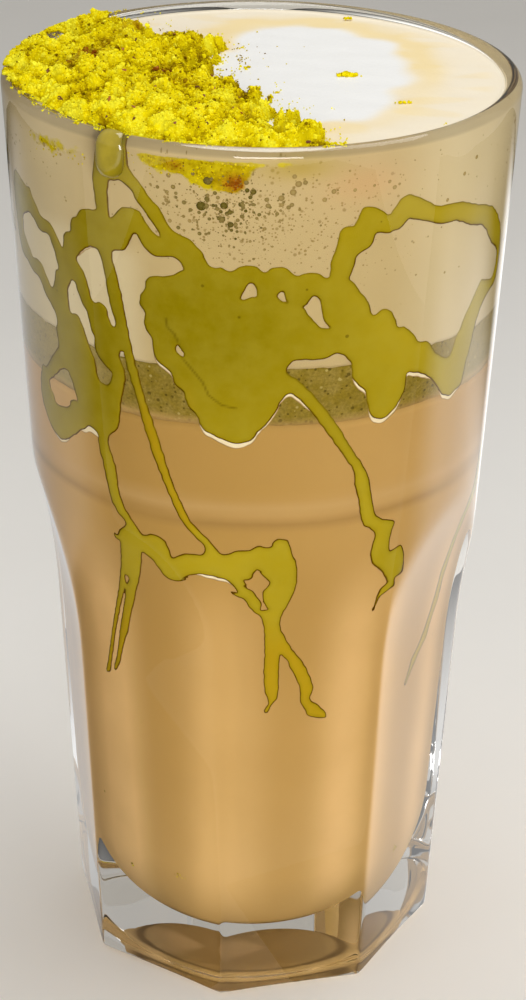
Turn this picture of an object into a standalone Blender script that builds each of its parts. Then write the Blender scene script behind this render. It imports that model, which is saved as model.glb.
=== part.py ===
"""Pistachio latte in an eight-sided tumbler.

The glass is round above and eight-sided below, where each flat side dies into the round
band in an arch.  It is filled to just under the lip with latte, a band of ground nuts and
milk foam.  Pistachio sauce clings to the inside of the wall in pools and threads, crushed
pistachio lies over the foam and the lip, and one drop of sauce has run over the lip.

Metres, +Z up.  The origin is the centre of the foot, on the table.  Angles are measured
round the glass from -Y towards +X, and the front of the drink faces -Y.
"""
import math
import random

import bmesh
import bpy
import numpy as np
from mathutils import Vector
from mathutils.geometry import delaunay_2d_cdt

MM = 0.001
CLEARANCE = 0.3 * MM          # between pieces that touch

# Glass
GLASS_HEIGHT = 162.0 * MM
LIP_OUTER_RADIUS = 42.0 * MM
LIP_THICKNESS = 2.9 * MM
LIP_RADIUS = LIP_THICKNESS / 2
LIP_CENTRE_HEIGHT = GLASS_HEIGHT - LIP_RADIUS
BAND_TAPER = 0.0447           # how much the round band narrows for each metre down
SIDE_COUNT = 8
FIRST_CORNER = math.radians(-9.3)
SIDE_STEP = 2 * math.pi / SIDE_COUNT
FOOT_SIDE_DISTANCE = 31.05 * MM   # from the axis to a flat side, at the table
SIDE_TAPER = 0.0423
SCOOP_START = 63.9 * MM       # above this height the flat sides curve out to the band
SCOOP_CURVE = 4.36            # per metre
COLUMNS_PER_SIDE = 6
COLUMNS = SIDE_COUNT * COLUMNS_PER_SIDE
RECESS_RADIUS = 26.0 * MM
RECESS_DEPTH = 1.2 * MM
FOOT_RING_RADIUS = 29.6 * MM
FOOT_EDGE_RISE = 0.5 * MM     # the foot's edge at a corner
FOOT_ARCH_RISE = 0.7 * MM     # and how much higher it is in the middle of a side

# Inside of the glass: height and radius, from the bowl to the lip
INSIDE_HEIGHTS = np.array([0.0, 20.0, 45.0, 66.0, 96.5, 130.0, 160.5, 175.0]) * MM
INSIDE_RADII = np.array([22.3, 23.7, 25.3, 26.8, 31.2, 35.9, 39.1, 40.2]) * MM
BOWL_FLOOR = 6.3 * MM
BOWL_ROUNDING = 17.3 * MM

# Drink
BAND_BOTTOM = 115.0 * MM
BAND_TOP = 125.0 * MM
LAYER_WAVE = 0.35 * MM
FOAM_LEVEL = 160.6 * MM
FOAM_CROWN = 0.3 * MM
SAUCE_GAP = 0.25 * MM
SAUCE_THICKNESS = 0.6 * MM
SAUCE_LOWEST = 53.5 * MM      # the drink is set back behind the sauce above this height
BEHIND_SAUCE = SAUCE_GAP + SAUCE_THICKNESS + CLEARANCE

# Sauce strokes on the inside of the wall: angle in degrees, height and half width in mm
SAUCE_STROKES = {
    "drop_root": [(-35.5, 159.5, 1.4), (-37, 154.5, 1.6), (-37, 150.5, 1.25), (-37.5, 146, 1.4)],
    "drop_branch": [(-31, 159.5, 1.0), (-29.5, 155, 1.1), (-27, 152.3, 1.25), (-24.3, 150, 1.4),
                    (-21, 146.5, 1.6)],
    "upper_pool": [(-45, 144.4, 2.5), (-39.6, 145.4, 3.3), (-34.8, 145.3, 2.85), (-31, 147, 3.1),
                   (-26.7, 147.7, 2.0), (-22.7, 145.4, 2.1), (-19.3, 145.2, 1.8), (-16, 143.9, 1.9),
                   (-13.6, 141.7, 2.1)],
    "pool_peak": [(-49.5, 142, 0.9), (-48, 140.4, 1.2)],
    "left_thread_high": [(-70.5, 147.3, 0.6), (-67.5, 144.6, 0.9), (-62.8, 143.5, 0.9),
                         (-57.5, 142.1, 1.0), (-54.2, 140.3, 1.0), (-52, 138.3, 1.5)],
    "left_thread_low": [(-72, 136.8, 0.5), (-68, 134.8, 0.8), (-63, 133.9, 1.3), (-56, 130.2, 1.8)],
    "left_trunk": [(-49, 140.6, 1.8), (-50.5, 138, 2.3), (-51.5, 135, 2.1), (-54.5, 132, 2.2),
                   (-54.5, 129.2, 1.9), (-53.4, 126.8, 2.0), (-51.6, 124.5, 2.8), (-52.2, 122, 3.5)],
    "inner_arm": [(-46, 137.8, 1.2), (-45.2, 134.5, 1.4), (-43, 131.5, 1.6), (-40.6, 129, 1.75),
                  (-38.5, 126, 2.3)],
    "long_thread": [(-37.4, 142.6, 1.3), (-36.7, 138.7, 1.05), (-35.2, 132.8, 0.95),
                    (-34.2, 129.2, 1.1), (-31, 120, 0.84), (-28.5, 113.2, 0.82),
                    (-25.3, 105.7, 0.88), (-21.6, 99.2, 0.88), (-19.2, 96.2, 0.85),
                    (-16.5, 94.2, 0.88), (-13.2, 91.8, 1.15)],
    "left_pool": [(-58.5, 121, 2.2), (-66, 113.6, 1.2), (-67, 109.8, 1.4), (-64, 107.2, 2.1),
                  (-59.4, 106.4, 2.6), (-50.2, 111.2, 2.9), (-43.7, 114.2, 3.7), (-43, 112.2, 3.5)],
    "left_pool_middle": [(-51.4, 122, 3.3), (-48.3, 119.2, 1.85), (-48.4, 115.6, 2.1),
                         (-47.4, 113.5, 3.0)],
    "left_pool_right": [(-37, 125.2, 1.7), (-36.4, 121.8, 1.25), (-38, 117.6, 1.55),
                        (-40.8, 114.8, 2.6)],
    "left_fall": [(-43.2, 109.8, 1.65), (-43.8, 106.9, 1.15), (-42.6, 104, 1.15), (-41.2, 97.1, 0.95),
                  (-39.2, 94.6, 0.85), (-37, 92.7, 1.0)],
    "centre_pool": [(-21.3, 136, 4.0), (-20.2, 131, 4.0), (-17.4, 127.5, 4.0), (-12.9, 123.5, 4.1),
                    (-8.8, 119.3, 4.6), (-4.8, 117.3, 4.6)],
    "centre_top": [(-13.5, 138, 3.8), (-5.5, 137.8, 4.2), (2.5, 137.6, 4.2), (10.5, 137, 3.8),
                   (18.8, 136.6, 3.9)],
    "centre_core": [(-10.2, 131.8, 6.4), (-3, 130.4, 7.3), (0, 126, 5.3)],
    "right_bridge": [(7.3, 132.5, 4.8), (14.4, 132.2, 4.4), (20.5, 131.7, 4.3)],
    "right_pool": [(20, 137, 3.3), (23.4, 131, 4.7), (29, 127.5, 5.1), (32.2, 122.2, 3.85),
                   (33, 118, 3.6)],
    "right_arm": [(34.7, 126.3, 4.2), (43, 123.5, 3.2), (53, 119, 4.2), (55.8, 116.7, 3.3)],
    "right_rise": [(56, 119.6, 2.8), (60.3, 122.8, 2.6), (66.6, 129, 2.6), (70.5, 130.3, 2.2)],
    "loop": [(18.6, 142.5, 1.7), (19.4, 146, 1.6), (22, 148.2, 1.8), (25, 149.5, 2.1),
             (28.8, 148.8, 1.7), (32, 149.9, 2.05), (35.7, 150.3, 2.2), (41, 148.7, 1.85),
             (46.8, 147.4, 1.8), (53, 146.6, 2.2), (61, 144.5, 2.2), (68, 140.7, 1.8),
             (74, 136, 1.6), (75.5, 132, 1.6), (71.8, 130.3, 1.8)],
    "right_thread": [(8.5, 122.7, 1.5), (13.4, 119, 1.5), (21.5, 111.7, 1.4), (28.6, 103.9, 1.38),
                     (30, 100.5, 1.38), (31.6, 97, 1.5), (34.8, 94.3, 1.75), (37.3, 92, 1.8),
                     (37.2, 89.2, 1.9), (40.5, 86, 2.7), (42.7, 83.4, 1.3)],
    "thread_knob": [(40, 93.4, 0.8), (36, 93.7, 1.2)],
    "thread_hook": [(44.7, 87, 0.9), (43, 85.3, 1.5)],
    "thread_tail": [(43, 82.3, 0.55), (42.5, 80.3, 0.5), (41.3, 80.6, 0.5), (40.6, 79, 0.46),
                    (40.2, 76.7, 0.4)],
    "low_knob": [(-42, 91.4, 1.2), (-38.3, 91.9, 2.1)],
    "low_band": [(-38.8, 91.3, 1.65), (-35, 90.6, 3.0), (-29.5, 90.9, 3.15), (-25.2, 89, 3.1),
                 (-22, 88, 3.0), (-16, 88.4, 1.9), (-10.2, 88.6, 2.1), (-4.4, 89.3, 2.25),
                 (1.8, 90, 2.25), (6.6, 90.5, 2.6), (7.6, 87, 2.35), (6.6, 82.8, 2.35),
                 (4.6, 79, 1.75)],
    "low_branch": [(-5.6, 87.5, 1.4), (-4.6, 84.8, 1.15), (-1.3, 81.8, 1.25), (2.5, 78.6, 1.25)],
    "drip_outer": [(-41, 86.5, 1.4), (-43, 82.5, 1.1), (-46, 78.3, 0.65), (-56.3, 65, 0.55),
                   (-60, 59.4, 0.45)],
    "drip_inner": [(-37.8, 86.8, 2.1), (-39.7, 82.5, 1.65), (-42.4, 77.3, 1.2), (-51, 65.3, 0.8),
                   (-54.6, 60.6, 0.6)],
    "leg_left": [(4.3, 77.8, 1.7), (4, 69.2, 1.5), (4.3, 63.8, 1.3), (4, 60.6, 0.85),
                 (2.9, 58.4, 0.4)],
    "leg_right": [(5.8, 76, 0.95), (10, 71.5, 1.25), (17.8, 63.7, 1.2), (18.4, 61.1, 0.9),
                  (17.8, 59.2, 0.95), (21.5, 57.5, 0.9), (25, 56.6, 0.6)],
    "side_thread": [(90, 104, 1.2), (87, 88, 1.0), (79.6, 75.6, 0.9), (78, 69.4, 1.0),
                    (71.8, 63.3, 0.9), (63.7, 60, 0.7), (58.6, 56.3, 0.45)],
    "back_right_link": [(74, 136, 1.6), (86, 139, 2.4), (99, 137, 4.0), (112, 133, 7.0)],
    "back_right_pool": [(104, 127, 4.5), (116, 131, 7.5), (132, 130, 7.0), (147, 133, 4.5),
                        (160, 139, 2.0), (166, 147, 1.4)],
    "back_right_lobes": [(104, 127, 4.0), (96, 116, 2.2), (90, 104, 1.3)],
    "back_right_fall": [(126, 124, 4.5), (129, 113, 3.0), (133, 101, 1.2), (139, 89, 1.1),
                        (141, 75, 0.9)],
    "back_left_high": [(-70.5, 147.3, 0.6), (-84, 150, 1.6), (-99, 149, 2.6), (-116, 142, 6.0)],
    "back_left_low": [(-72, 136.8, 0.5), (-86, 138.5, 1.4), (-101, 139, 3.5)],
    "back_left_pool": [(-106, 137, 5.0), (-119, 134, 7.5), (-136, 131, 6.0), (-150, 135, 3.2),
                       (-160, 141, 1.5)],
    "back_left_falls": [(-124, 127, 5.0), (-127, 117, 3.6), (-124, 105, 1.2), (-117, 92, 1.1),
                        (-114, 79, 0.8)],
    "back_left_thread": [(-143, 128, 3.0), (-150, 114, 1.3), (-158, 101, 1.1), (-161, 88, 1.8),
                         (-153, 84, 1.6)],
}
SAUCE_HOLES = {
    "teardrop": [(-43.3, 123, 0.36), (-41.9, 121.2, 0.9), (-40.8, 120.2, 1.3)],
    "kite": [(-57.8, 115.7, 2.0), (-58.2, 113, 2.3)],
    "window_left": [(-2.5, 138.6, 0.85)],
    "window_right": [(12.7, 136, 0.95), (14.3, 133.5, 0.56)],
    "arch": [(9, 125.8, 0.8), (15, 125.7, 1.0), (20, 126, 1.35)],
    "diamond": [(-1.4, 87, 1.35), (0.3, 84, 0.85), (1.4, 81.5, 0.6)],
    "back_right": [(120, 133, 1.2)],
    "back_left": [(-126, 134, 1.5), (-122, 132, 1.0)],
}
STROKE_BLEND = 0.45 * MM
SAUCE_MAP_STEP = 0.5 * MM
SAUCE_MAP_RADIUS = 34.0 * MM      # the wall is unrolled at this radius
SAUCE_MAP_SEAM = math.radians(176)
OUTLINE_TOLERANCE = 0.15 * MM
SAUCE_INNER_SPACING = 4.4 * MM

# Crushed pistachio: outline on the foam in mm, anticlockwise seen from above
HEAP_OUTLINE = [
    (-33.2, -19.2), (-29.5, -24.6), (-23.6, -30.2), (-17, -34.4), (-10, -37), (-3, -38.2),
    (3.2, -38.2), (9.2, -37.1), (9.6, -34.2), (6.4, -32.4), (3.2, -34.6), (0.6, -32.2),
    (2.6, -27.6), (-0.4, -25.2), (-0.5, -19.2), (-2, -15.7), (-3.4, -11.6), (-6.4, -9),
    (-9.4, -3.8), (-11.6, -0.5), (-9.3, 6.4), (-8.3, 12.2), (-11.2, 15.4), (-15.4, 14.6),
    (-18, 12.6), (-19.4, 15.8), (-22.2, 18.6), (-24.6, 23.4), (-25.6, 28.2), (-28, 31.3),
    (-34.6, 23.9), (-39.2, 14.2), (-41.6, 3.8), (-40.6, -4.6), (-39.3, -9.8), (-37.2, -13.6),
    (-34.6, -16),
]
HEAP_HEIGHT = 3.4 * MM
HEAP_EDGE = 0.7 * MM
HEAP_SLOPE = 3.2 * MM
HEAP_POINT_SPACING = 2.0 * MM
HEAP_BUMP = 0.75 * MM
CLUMP_COUNT = 52
CLUMP_RADII = (0.7 * MM, 1.35 * MM)
LARGE_CLUMPS = [(-21.4, 12.8, 2.3), (7.2, -35.4, 1.9), (-14, -31.5, 1.7), (-25, -22, 1.8)]

# Drop of sauce over the lip
DROP_ANGLE = math.radians(-32.3)
DROP_HALF_WIDTH = 2.6 * MM
DROP_BULGE = 1.9 * MM
DROP_LOWEST = 155.4 * MM
DROP_STATIONS = 16
DROP_SECTION_POINTS = 12


def clear_scene():
    """Remove the objects that are in the file."""
    for item in list(bpy.data.objects):
        bpy.data.objects.remove(item, do_unlink=True)


def make_material(name, colour, roughness, metallic=0.0, transmission=0.0):
    """A Principled material of one colour."""
    material = bpy.data.materials.new(name)
    material.use_nodes = True
    shader = material.node_tree.nodes["Principled BSDF"]
    shader.inputs["Base Color"].default_value = (*colour, 1.0)
    shader.inputs["Roughness"].default_value = roughness
    shader.inputs["Metallic"].default_value = metallic
    shader.inputs["Transmission Weight"].default_value = transmission
    return material


def add_object(name, vertices, faces, material, sharp_angle=30.0):
    """Put a mesh into the scene, smooth but for the edges sharper than an angle."""
    mesh = bpy.data.meshes.new(name)
    mesh.from_pydata([tuple(v) for v in vertices], [], [tuple(f) for f in faces])
    mesh.validate()
    mesh.shade_smooth()
    mesh.set_sharp_from_angle(angle=math.radians(sharp_angle))
    mesh.materials.append(material)
    part = bpy.data.objects.new(name, mesh)
    bpy.context.collection.objects.link(part)
    return part


def polar(angle, radius, height):
    """A point from its angle round the glass, its distance from the axis and its height."""
    return (radius * math.sin(angle), -radius * math.cos(angle), height)


def loft(rings):
    """Close a stack of equal rings of points with a pole at each end.

    The rings run so that the surface's outside is on the right when they turn with the
    angle and the stack is followed from first to last.
    """
    count = len(rings[0])
    vertices = [point for ring in rings for point in ring]
    faces = []
    for lower in range(len(rings) - 1):
        for column in range(count):
            following = (column + 1) % count
            a = lower * count + column
            b = lower * count + following
            faces.append((a, b, b + count, a + count))
    first_pole = len(vertices)
    last_pole = first_pole + 1
    vertices.append(tuple(sum(p[axis] for p in rings[0]) / count for axis in range(3)))
    vertices.append(tuple(sum(p[axis] for p in rings[-1]) / count for axis in range(3)))
    last_row = (len(rings) - 1) * count
    for column in range(count):
        following = (column + 1) % count
        faces.append((first_pole, following, column))
        faces.append((last_pole, last_row + column, last_row + following))
    return vertices, faces


# ---------------------------------------------------------------- glass

def band_radius(height):
    """Outside radius of the round band, a cone that narrows downwards."""
    return LIP_OUTER_RADIUS - BAND_TAPER * (LIP_CENTRE_HEIGHT - height)


def side_distance(height):
    """Distance from the axis to a flat side: a taper, then a parabola out to the band."""
    rise = max(height - SCOOP_START, 0.0)
    return FOOT_SIDE_DISTANCE + SIDE_TAPER * height + SCOOP_CURVE * rise * rise


def angle_from_side(angle):
    """Angle between a direction and the middle of the flat side it lies in."""
    return (angle - FIRST_CORNER) % SIDE_STEP - SIDE_STEP / 2


def side_radius(angle, height):
    """Outside radius of the eight-sided body in a direction."""
    return side_distance(height) / math.cos(angle_from_side(angle))


def arch_height(angle):
    """Height at which a flat side meets the round band, found by halving."""
    low, high = SCOOP_START, LIP_CENTRE_HEIGHT
    for _ in range(40):
        middle = (low + high) / 2
        if side_radius(angle, middle) < band_radius(middle):
            low = middle
        else:
            high = middle
    return (low + high) / 2


def inside_radius(height):
    """Inside radius of the glass wall, a smooth curve through its measured radii."""
    slopes = np.gradient(INSIDE_RADII, INSIDE_HEIGHTS)
    index = int(np.clip(np.searchsorted(INSIDE_HEIGHTS, height) - 1, 0, len(INSIDE_HEIGHTS) - 2))
    span = INSIDE_HEIGHTS[index + 1] - INSIDE_HEIGHTS[index]
    t = (height - INSIDE_HEIGHTS[index]) / span
    start, end = INSIDE_RADII[index], INSIDE_RADII[index + 1]
    return float((2 * t**3 - 3 * t**2 + 1) * start + (3 * t**2 - 2 * t**3) * end
                 + span * ((t**3 - 2 * t**2 + t) * slopes[index] + (t**3 - t**2) * slopes[index + 1]))


def bowl_profile(gap, steps):
    """Radius and height from the middle of the bowl out and up to where the wall takes over.

    The bowl is a quarter circle of BOWL_ROUNDING; the gap moves it inwards.
    """
    wall = inside_radius(BOWL_FLOOR + BOWL_ROUNDING)
    flat = wall - BOWL_ROUNDING
    reach = BOWL_ROUNDING - gap
    points = [(flat * 0.5, BOWL_FLOOR + gap)]
    for step in range(steps + 1):
        turn = math.pi / 2 * step / steps
        points.append((flat + reach * math.sin(turn),
                       BOWL_FLOOR + BOWL_ROUNDING - reach * math.cos(turn)))
    return points


def column_angles():
    """The angles of the glass's columns of points; every corner has one."""
    return [FIRST_CORNER + 2 * math.pi * column / COLUMNS for column in range(COLUMNS)]


def round_ring(radius, height):
    """A ring of points of one radius."""
    return [polar(angle, radius, height) for angle in column_angles()]


def glass_outside_rings():
    """Rings from the foot's edge up the flat sides, over the arches and up the band."""
    angles = column_angles()
    rings = []
    foot_edge = []
    for angle in angles:
        middle = math.cos(math.pi * angle_from_side(angle) / SIDE_STEP) ** 2
        height = FOOT_EDGE_RISE + FOOT_ARCH_RISE * middle
        foot_edge.append(polar(angle, side_radius(angle, height), height))
    rings.append(foot_edge)
    for height in (8 * MM, 36 * MM, SCOOP_START):
        rings.append([polar(angle, side_radius(angle, height), height) for angle in angles])
    for share in (0.25, 0.45, 0.65, 0.83):
        ring = []
        for angle in angles:
            height = SCOOP_START + share * (arch_height(angle) - SCOOP_START)
            ring.append(polar(angle, side_radius(angle, height), height))
        rings.append(ring)
    rings.append([polar(angle, band_radius(arch_height(angle)), arch_height(angle))
                  for angle in angles])
    for height in (98 * MM, 130 * MM):
        rings.append(round_ring(band_radius(height), height))
    return rings


def glass_inside_rings():
    """Rings from the lip down the inside of the wall to the middle of the bowl."""
    rings = []
    top_of_bowl = BOWL_FLOOR + BOWL_ROUNDING
    for height in np.linspace(150 * MM, top_of_bowl + 8 * MM, 10):
        rings.append(round_ring(inside_radius(height), height))
    for radius, height in reversed(bowl_profile(0.0, 5)):
        rings.append(round_ring(radius, height))
    return rings


def build_glass():
    """One closed wall: recessed foot, flat sides, band, round lip and bowl-shaped inside."""
    rings = [round_ring(RECESS_RADIUS - 1.5 * MM, RECESS_DEPTH),
             round_ring(RECESS_RADIUS, 0.0),
             round_ring(FOOT_RING_RADIUS, 0.0)]
    rings += glass_outside_rings()
    lip_middle = LIP_OUTER_RADIUS - LIP_RADIUS
    for step in range(7):
        turn = math.pi * step / 6
        rings.append(round_ring(lip_middle + LIP_RADIUS * math.cos(turn),
                                LIP_CENTRE_HEIGHT + LIP_RADIUS * math.sin(turn)))
    rings += glass_inside_rings()
    vertices, faces = loft(rings)
    material = make_material("clear_glass", (0.93, 0.95, 0.94), 0.03, transmission=1.0)
    return add_object("glass_tumbler", vertices, faces, material, sharp_angle=12.0)


# ---------------------------------------------------------------- drink

def drink_radius(height):
    """Radius of the drink: near the wall, and set back where sauce lies on the wall."""
    gap = CLEARANCE if height < SAUCE_LOWEST else BEHIND_SAUCE
    return inside_radius(height) - gap


def layer_wave(angle):
    """Slight unevenness of the layers' edges round the glass."""
    return LAYER_WAVE * (math.sin(3 * angle + 0.7) + 0.6 * math.sin(7 * angle + 2.1))


def wavy_ring(level, inset=0.0):
    """A ring of the drink's edge at a layer's uneven level."""
    ring = []
    for angle in column_angles():
        height = level + layer_wave(angle)
        ring.append(polar(angle, drink_radius(height) - inset, height))
    return ring


def drink_rings(low, high, count):
    """Level rings of the drink's edge between two heights, the ends left out."""
    heights = np.linspace(low, high, count + 2)[1:-1]
    return [round_ring(drink_radius(height), height) for height in heights]


def build_latte():
    """Coffee with milk, from the bowl up to the nut band."""
    rings = [round_ring(radius, height) for radius, height in bowl_profile(CLEARANCE, 5)]
    rings += drink_rings(BOWL_FLOOR + BOWL_ROUNDING, SAUCE_LOWEST - 0.1 * MM, 2)
    rings.append(round_ring(drink_radius(SAUCE_LOWEST - 0.1 * MM), SAUCE_LOWEST - 0.1 * MM))
    rings.append(round_ring(drink_radius(SAUCE_LOWEST), SAUCE_LOWEST + 0.4 * MM))
    rings += drink_rings(SAUCE_LOWEST, BAND_BOTTOM, 4)
    rings.append(wavy_ring(BAND_BOTTOM - CLEARANCE / 2))
    rings.append(wavy_ring(BAND_BOTTOM - CLEARANCE / 2, inset=12 * MM))
    vertices, faces = loft(rings)
    return add_object("coffee_milk", vertices, faces, make_material("latte", (0.60, 0.36, 0.13), 0.4))


def build_nut_band():
    """Band of ground pistachio that hangs in the drink under the foam."""
    low = BAND_BOTTOM + CLEARANCE / 2
    high = BAND_TOP - CLEARANCE / 2
    rings = [wavy_ring(low, inset=12 * MM), wavy_ring(low)]
    rings += [wavy_ring((low + high) / 2)]
    rings += [wavy_ring(high), wavy_ring(high, inset=12 * MM)]
    vertices, faces = loft(rings)
    return add_object("ground_nut_band", vertices, faces,
                      make_material("ground_nuts", (0.27, 0.20, 0.04), 0.7))


def build_foam():
    """Milk foam from the nut band to just under the lip, slightly crowned."""
    low = BAND_TOP + CLEARANCE / 2
    rings = [wavy_ring(low, inset=12 * MM), wavy_ring(low)]
    rings += drink_rings(BAND_TOP, FOAM_LEVEL, 4)
    edge = drink_radius(FOAM_LEVEL)
    rings.append(round_ring(edge, FOAM_LEVEL - 0.4 * MM))
    for share in (0.985, 0.85, 0.55, 0.25):
        rings.append(round_ring(edge * share, FOAM_LEVEL + FOAM_CROWN * (1 - share**2)))
    vertices, faces = loft(rings)
    return add_object("milk_foam", vertices, faces,
                      make_material("milk_foam", (0.86, 0.78, 0.60), 0.6))


# ---------------------------------------------------------------- flat outlines made solid

def simplify(points, tolerance):
    """Drop the points of an open line that lie within a tolerance of the rest."""
    if len(points) < 3:
        return list(points)
    line = np.array(points)
    direction = line[-1] - line[0]
    offsets = line - line[0]
    length = math.hypot(*direction)
    if length < 1e-9:
        distances = np.hypot(offsets[:, 0], offsets[:, 1])
    else:
        distances = np.abs(offsets[:, 0] * direction[1] - offsets[:, 1] * direction[0]) / length
    farthest = int(np.argmax(distances))
    if distances[farthest] <= tolerance:
        return [points[0], points[-1]]
    return simplify(points[:farthest + 1], tolerance)[:-1] + simplify(points[farthest:], tolerance)


def inside_outline(loops, points):
    """Even-odd test: which points lie inside a set of closed loops."""
    points = np.asarray(points)
    inside = np.zeros(len(points), dtype=bool)
    for loop in loops:
        starts = np.array(loop)
        ends = np.roll(starts, -1, axis=0)
        for (x0, y0), (x1, y1) in zip(starts, ends):
            crosses = (y0 > points[:, 1]) != (y1 > points[:, 1])
            if y0 != y1:
                at = x0 + (points[:, 1] - y0) * (x1 - x0) / (y1 - y0)
                inside ^= crosses & (points[:, 0] < at)
    return inside


def fill_outline(loops, inner_points):
    """Triangles of the area inside closed loops, with extra points within it."""
    scale = 1 / MM
    vertices = []
    edges = []
    for loop in loops:
        first = len(vertices)
        vertices += [Vector((x * scale, y * scale)) for x, y in loop]
        edges += [(first + k, first + (k + 1) % len(loop)) for k in range(len(loop))]
    vertices += [Vector((x * scale, y * scale)) for x, y in inner_points]
    found, _, triangles, *_ = delaunay_2d_cdt(vertices, edges, [], 0, 1e-5)
    flat = np.array([(v.x / scale, v.y / scale) for v in found])
    centres = np.array([flat[list(t)].mean(axis=0) for t in triangles])
    kept = inside_outline(loops, centres)
    return flat, [tuple(t) for t, keep in zip(triangles, kept) if keep]


def solid_between(flat, triangles, front, back):
    """A closed skin from a triangulated flat area and two maps of it into space."""
    used = sorted({corner for triangle in triangles for corner in triangle})
    place = {old: new for new, old in enumerate(used)}
    count = len(used)
    vertices = [front(*flat[k]) for k in used] + [back(*flat[k]) for k in used]
    faces = []
    directed = set()
    for triangle in triangles:
        a, b, c = (place[k] for k in triangle)
        faces.append((a, b, c))
        faces.append((c + count, b + count, a + count))
        directed.update(((a, b), (b, c), (c, a)))
    for a, b in sorted(directed):
        if (b, a) not in directed:
            faces.append((b, a, a + count, b + count))
    return vertices, faces


# ---------------------------------------------------------------- sauce on the wall

def stroke_field(strokes, angles, heights):
    """How deep each point lies inside a set of strokes, in metres; outside it is negative.

    A stroke is a line of discs whose half widths blend from point to point, and strokes
    that meet are rounded into each other.
    """
    radii = np.array([inside_radius(height) for height in heights])[:, None]
    around = radii * angles[None, :]
    up = np.broadcast_to(heights[:, None], around.shape)
    total = np.zeros_like(around)
    for stroke in strokes.values():
        ends = stroke[1:] or stroke
        for (angle_a, height_a, width_a), (angle_b, height_b, width_b) in zip(stroke, ends):
            ax = radii * math.radians(angle_a)
            bx = radii * math.radians(angle_b)
            ay, by = height_a * MM, height_b * MM
            length = (bx - ax) ** 2 + (by - ay) ** 2 + 1e-12
            t = np.clip(((around - ax) * (bx - ax) + (up - ay) * (by - ay)) / length, 0, 1)
            distance = np.hypot(around - ax - t * (bx - ax), up - ay - t * (by - ay))
            depth = (width_a + t * (width_b - width_a)) * MM - distance
            total += np.exp(np.clip(depth / STROKE_BLEND, -60, 60))
    return STROKE_BLEND * np.log(total + 1e-30)


def contour_loops(field, across, up):
    """Closed lines along which a field on a grid is zero, by the marching squares rule."""
    inside = field > 0
    crossing = {}
    following = {}

    def cross(i, j, di, dj):
        key = (i, j, di, dj)
        if key not in crossing:
            t = field[j, i] / (field[j, i] - field[j + dj, i + di])
            crossing[key] = (across[i] + t * di * (across[1] - across[0]),
                             up[j] + t * dj * (up[1] - up[0]))
        return key

    mixed = inside[:-1, :-1].astype(int) + inside[:-1, 1:] + inside[1:, :-1] + inside[1:, 1:]
    for j, i in zip(*np.nonzero((mixed > 0) & (mixed < 4))):
        corners = [(i, j), (i + 1, j), (i + 1, j + 1), (i, j + 1)]
        states = [bool(inside[b, a]) for a, b in corners]
        sides = [(i, j, 1, 0), (i + 1, j, 0, 1), (i, j + 1, 1, 0), (i, j, 0, 1)]
        leaves = [k for k in range(4) if states[k] and not states[(k + 1) % 4]]
        enters = [k for k in range(4) if not states[k] and states[(k + 1) % 4]]
        for leave in leaves:
            enter = min(enters, key=lambda k: (leave - k) % 4)
            following[cross(*sides[leave])] = cross(*sides[enter])
    loops = []
    while following:
        start = next(iter(following))
        loop = []
        key = start
        while key in following:
            loop.append(crossing[key])
            key = following.pop(key)
        loops.append(loop)
    return loops


def loop_area(loop):
    """Signed area of a closed loop."""
    x, y = np.array(loop).T
    return 0.5 * float(np.sum(x * np.roll(y, -1) - np.roll(x, -1) * y))


def simplified_loop(loop, tolerance):
    """A closed loop with few points, split in two for the open-line rule."""
    half = len(loop) // 2
    return simplify(loop[:half + 1], tolerance)[:-1] + simplify(loop[half:] + loop[:1], tolerance)[:-1]


def split_round(loop, longest):
    """Split a closed loop's sides so that none reaches too far round the glass."""
    points = []
    for (x0, y0), (x1, y1) in zip(loop, loop[1:] + loop[:1]):
        pieces = max(1, math.ceil(abs(x1 - x0) / longest))
        points += [(x0 + (x1 - x0) * k / pieces, y0 + (y1 - y0) * k / pieces) for k in range(pieces)]
    return points


def hex_points(low, high, spacing):
    """Points of a triangular grid that covers a rectangle."""
    points = []
    row_height = spacing * math.sqrt(3) / 2
    rows = int((high[1] - low[1]) / row_height) + 1
    columns = int((high[0] - low[0]) / spacing) + 1
    for row in range(rows):
        for column in range(columns):
            points.append((low[0] + (column + 0.5 * (row % 2)) * spacing, low[1] + row * row_height))
    return points


def points_clear_of_outline(points, loops, clearance):
    """The points that lie inside the loops and no nearer to them than a clearance."""
    kept = [p for p, ok in zip(points, inside_outline(loops, points)) if ok]
    corners = np.concatenate([np.array(loop) for loop in loops])
    dense = np.concatenate([corners] + [
        corners_between(np.array(loop), clearance) for loop in loops])
    return [p for p in kept if np.min(np.hypot(dense[:, 0] - p[0], dense[:, 1] - p[1])) > clearance]


def corners_between(loop, spacing):
    """Points along a closed loop's sides, no farther apart than a spacing."""
    points = []
    for start, end in zip(loop, np.roll(loop, -1, axis=0)):
        pieces = max(1, int(math.hypot(*(end - start)) / spacing) + 1)
        points += [start + (end - start) * k / pieces for k in range(pieces)]
    return np.array(points)


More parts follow.
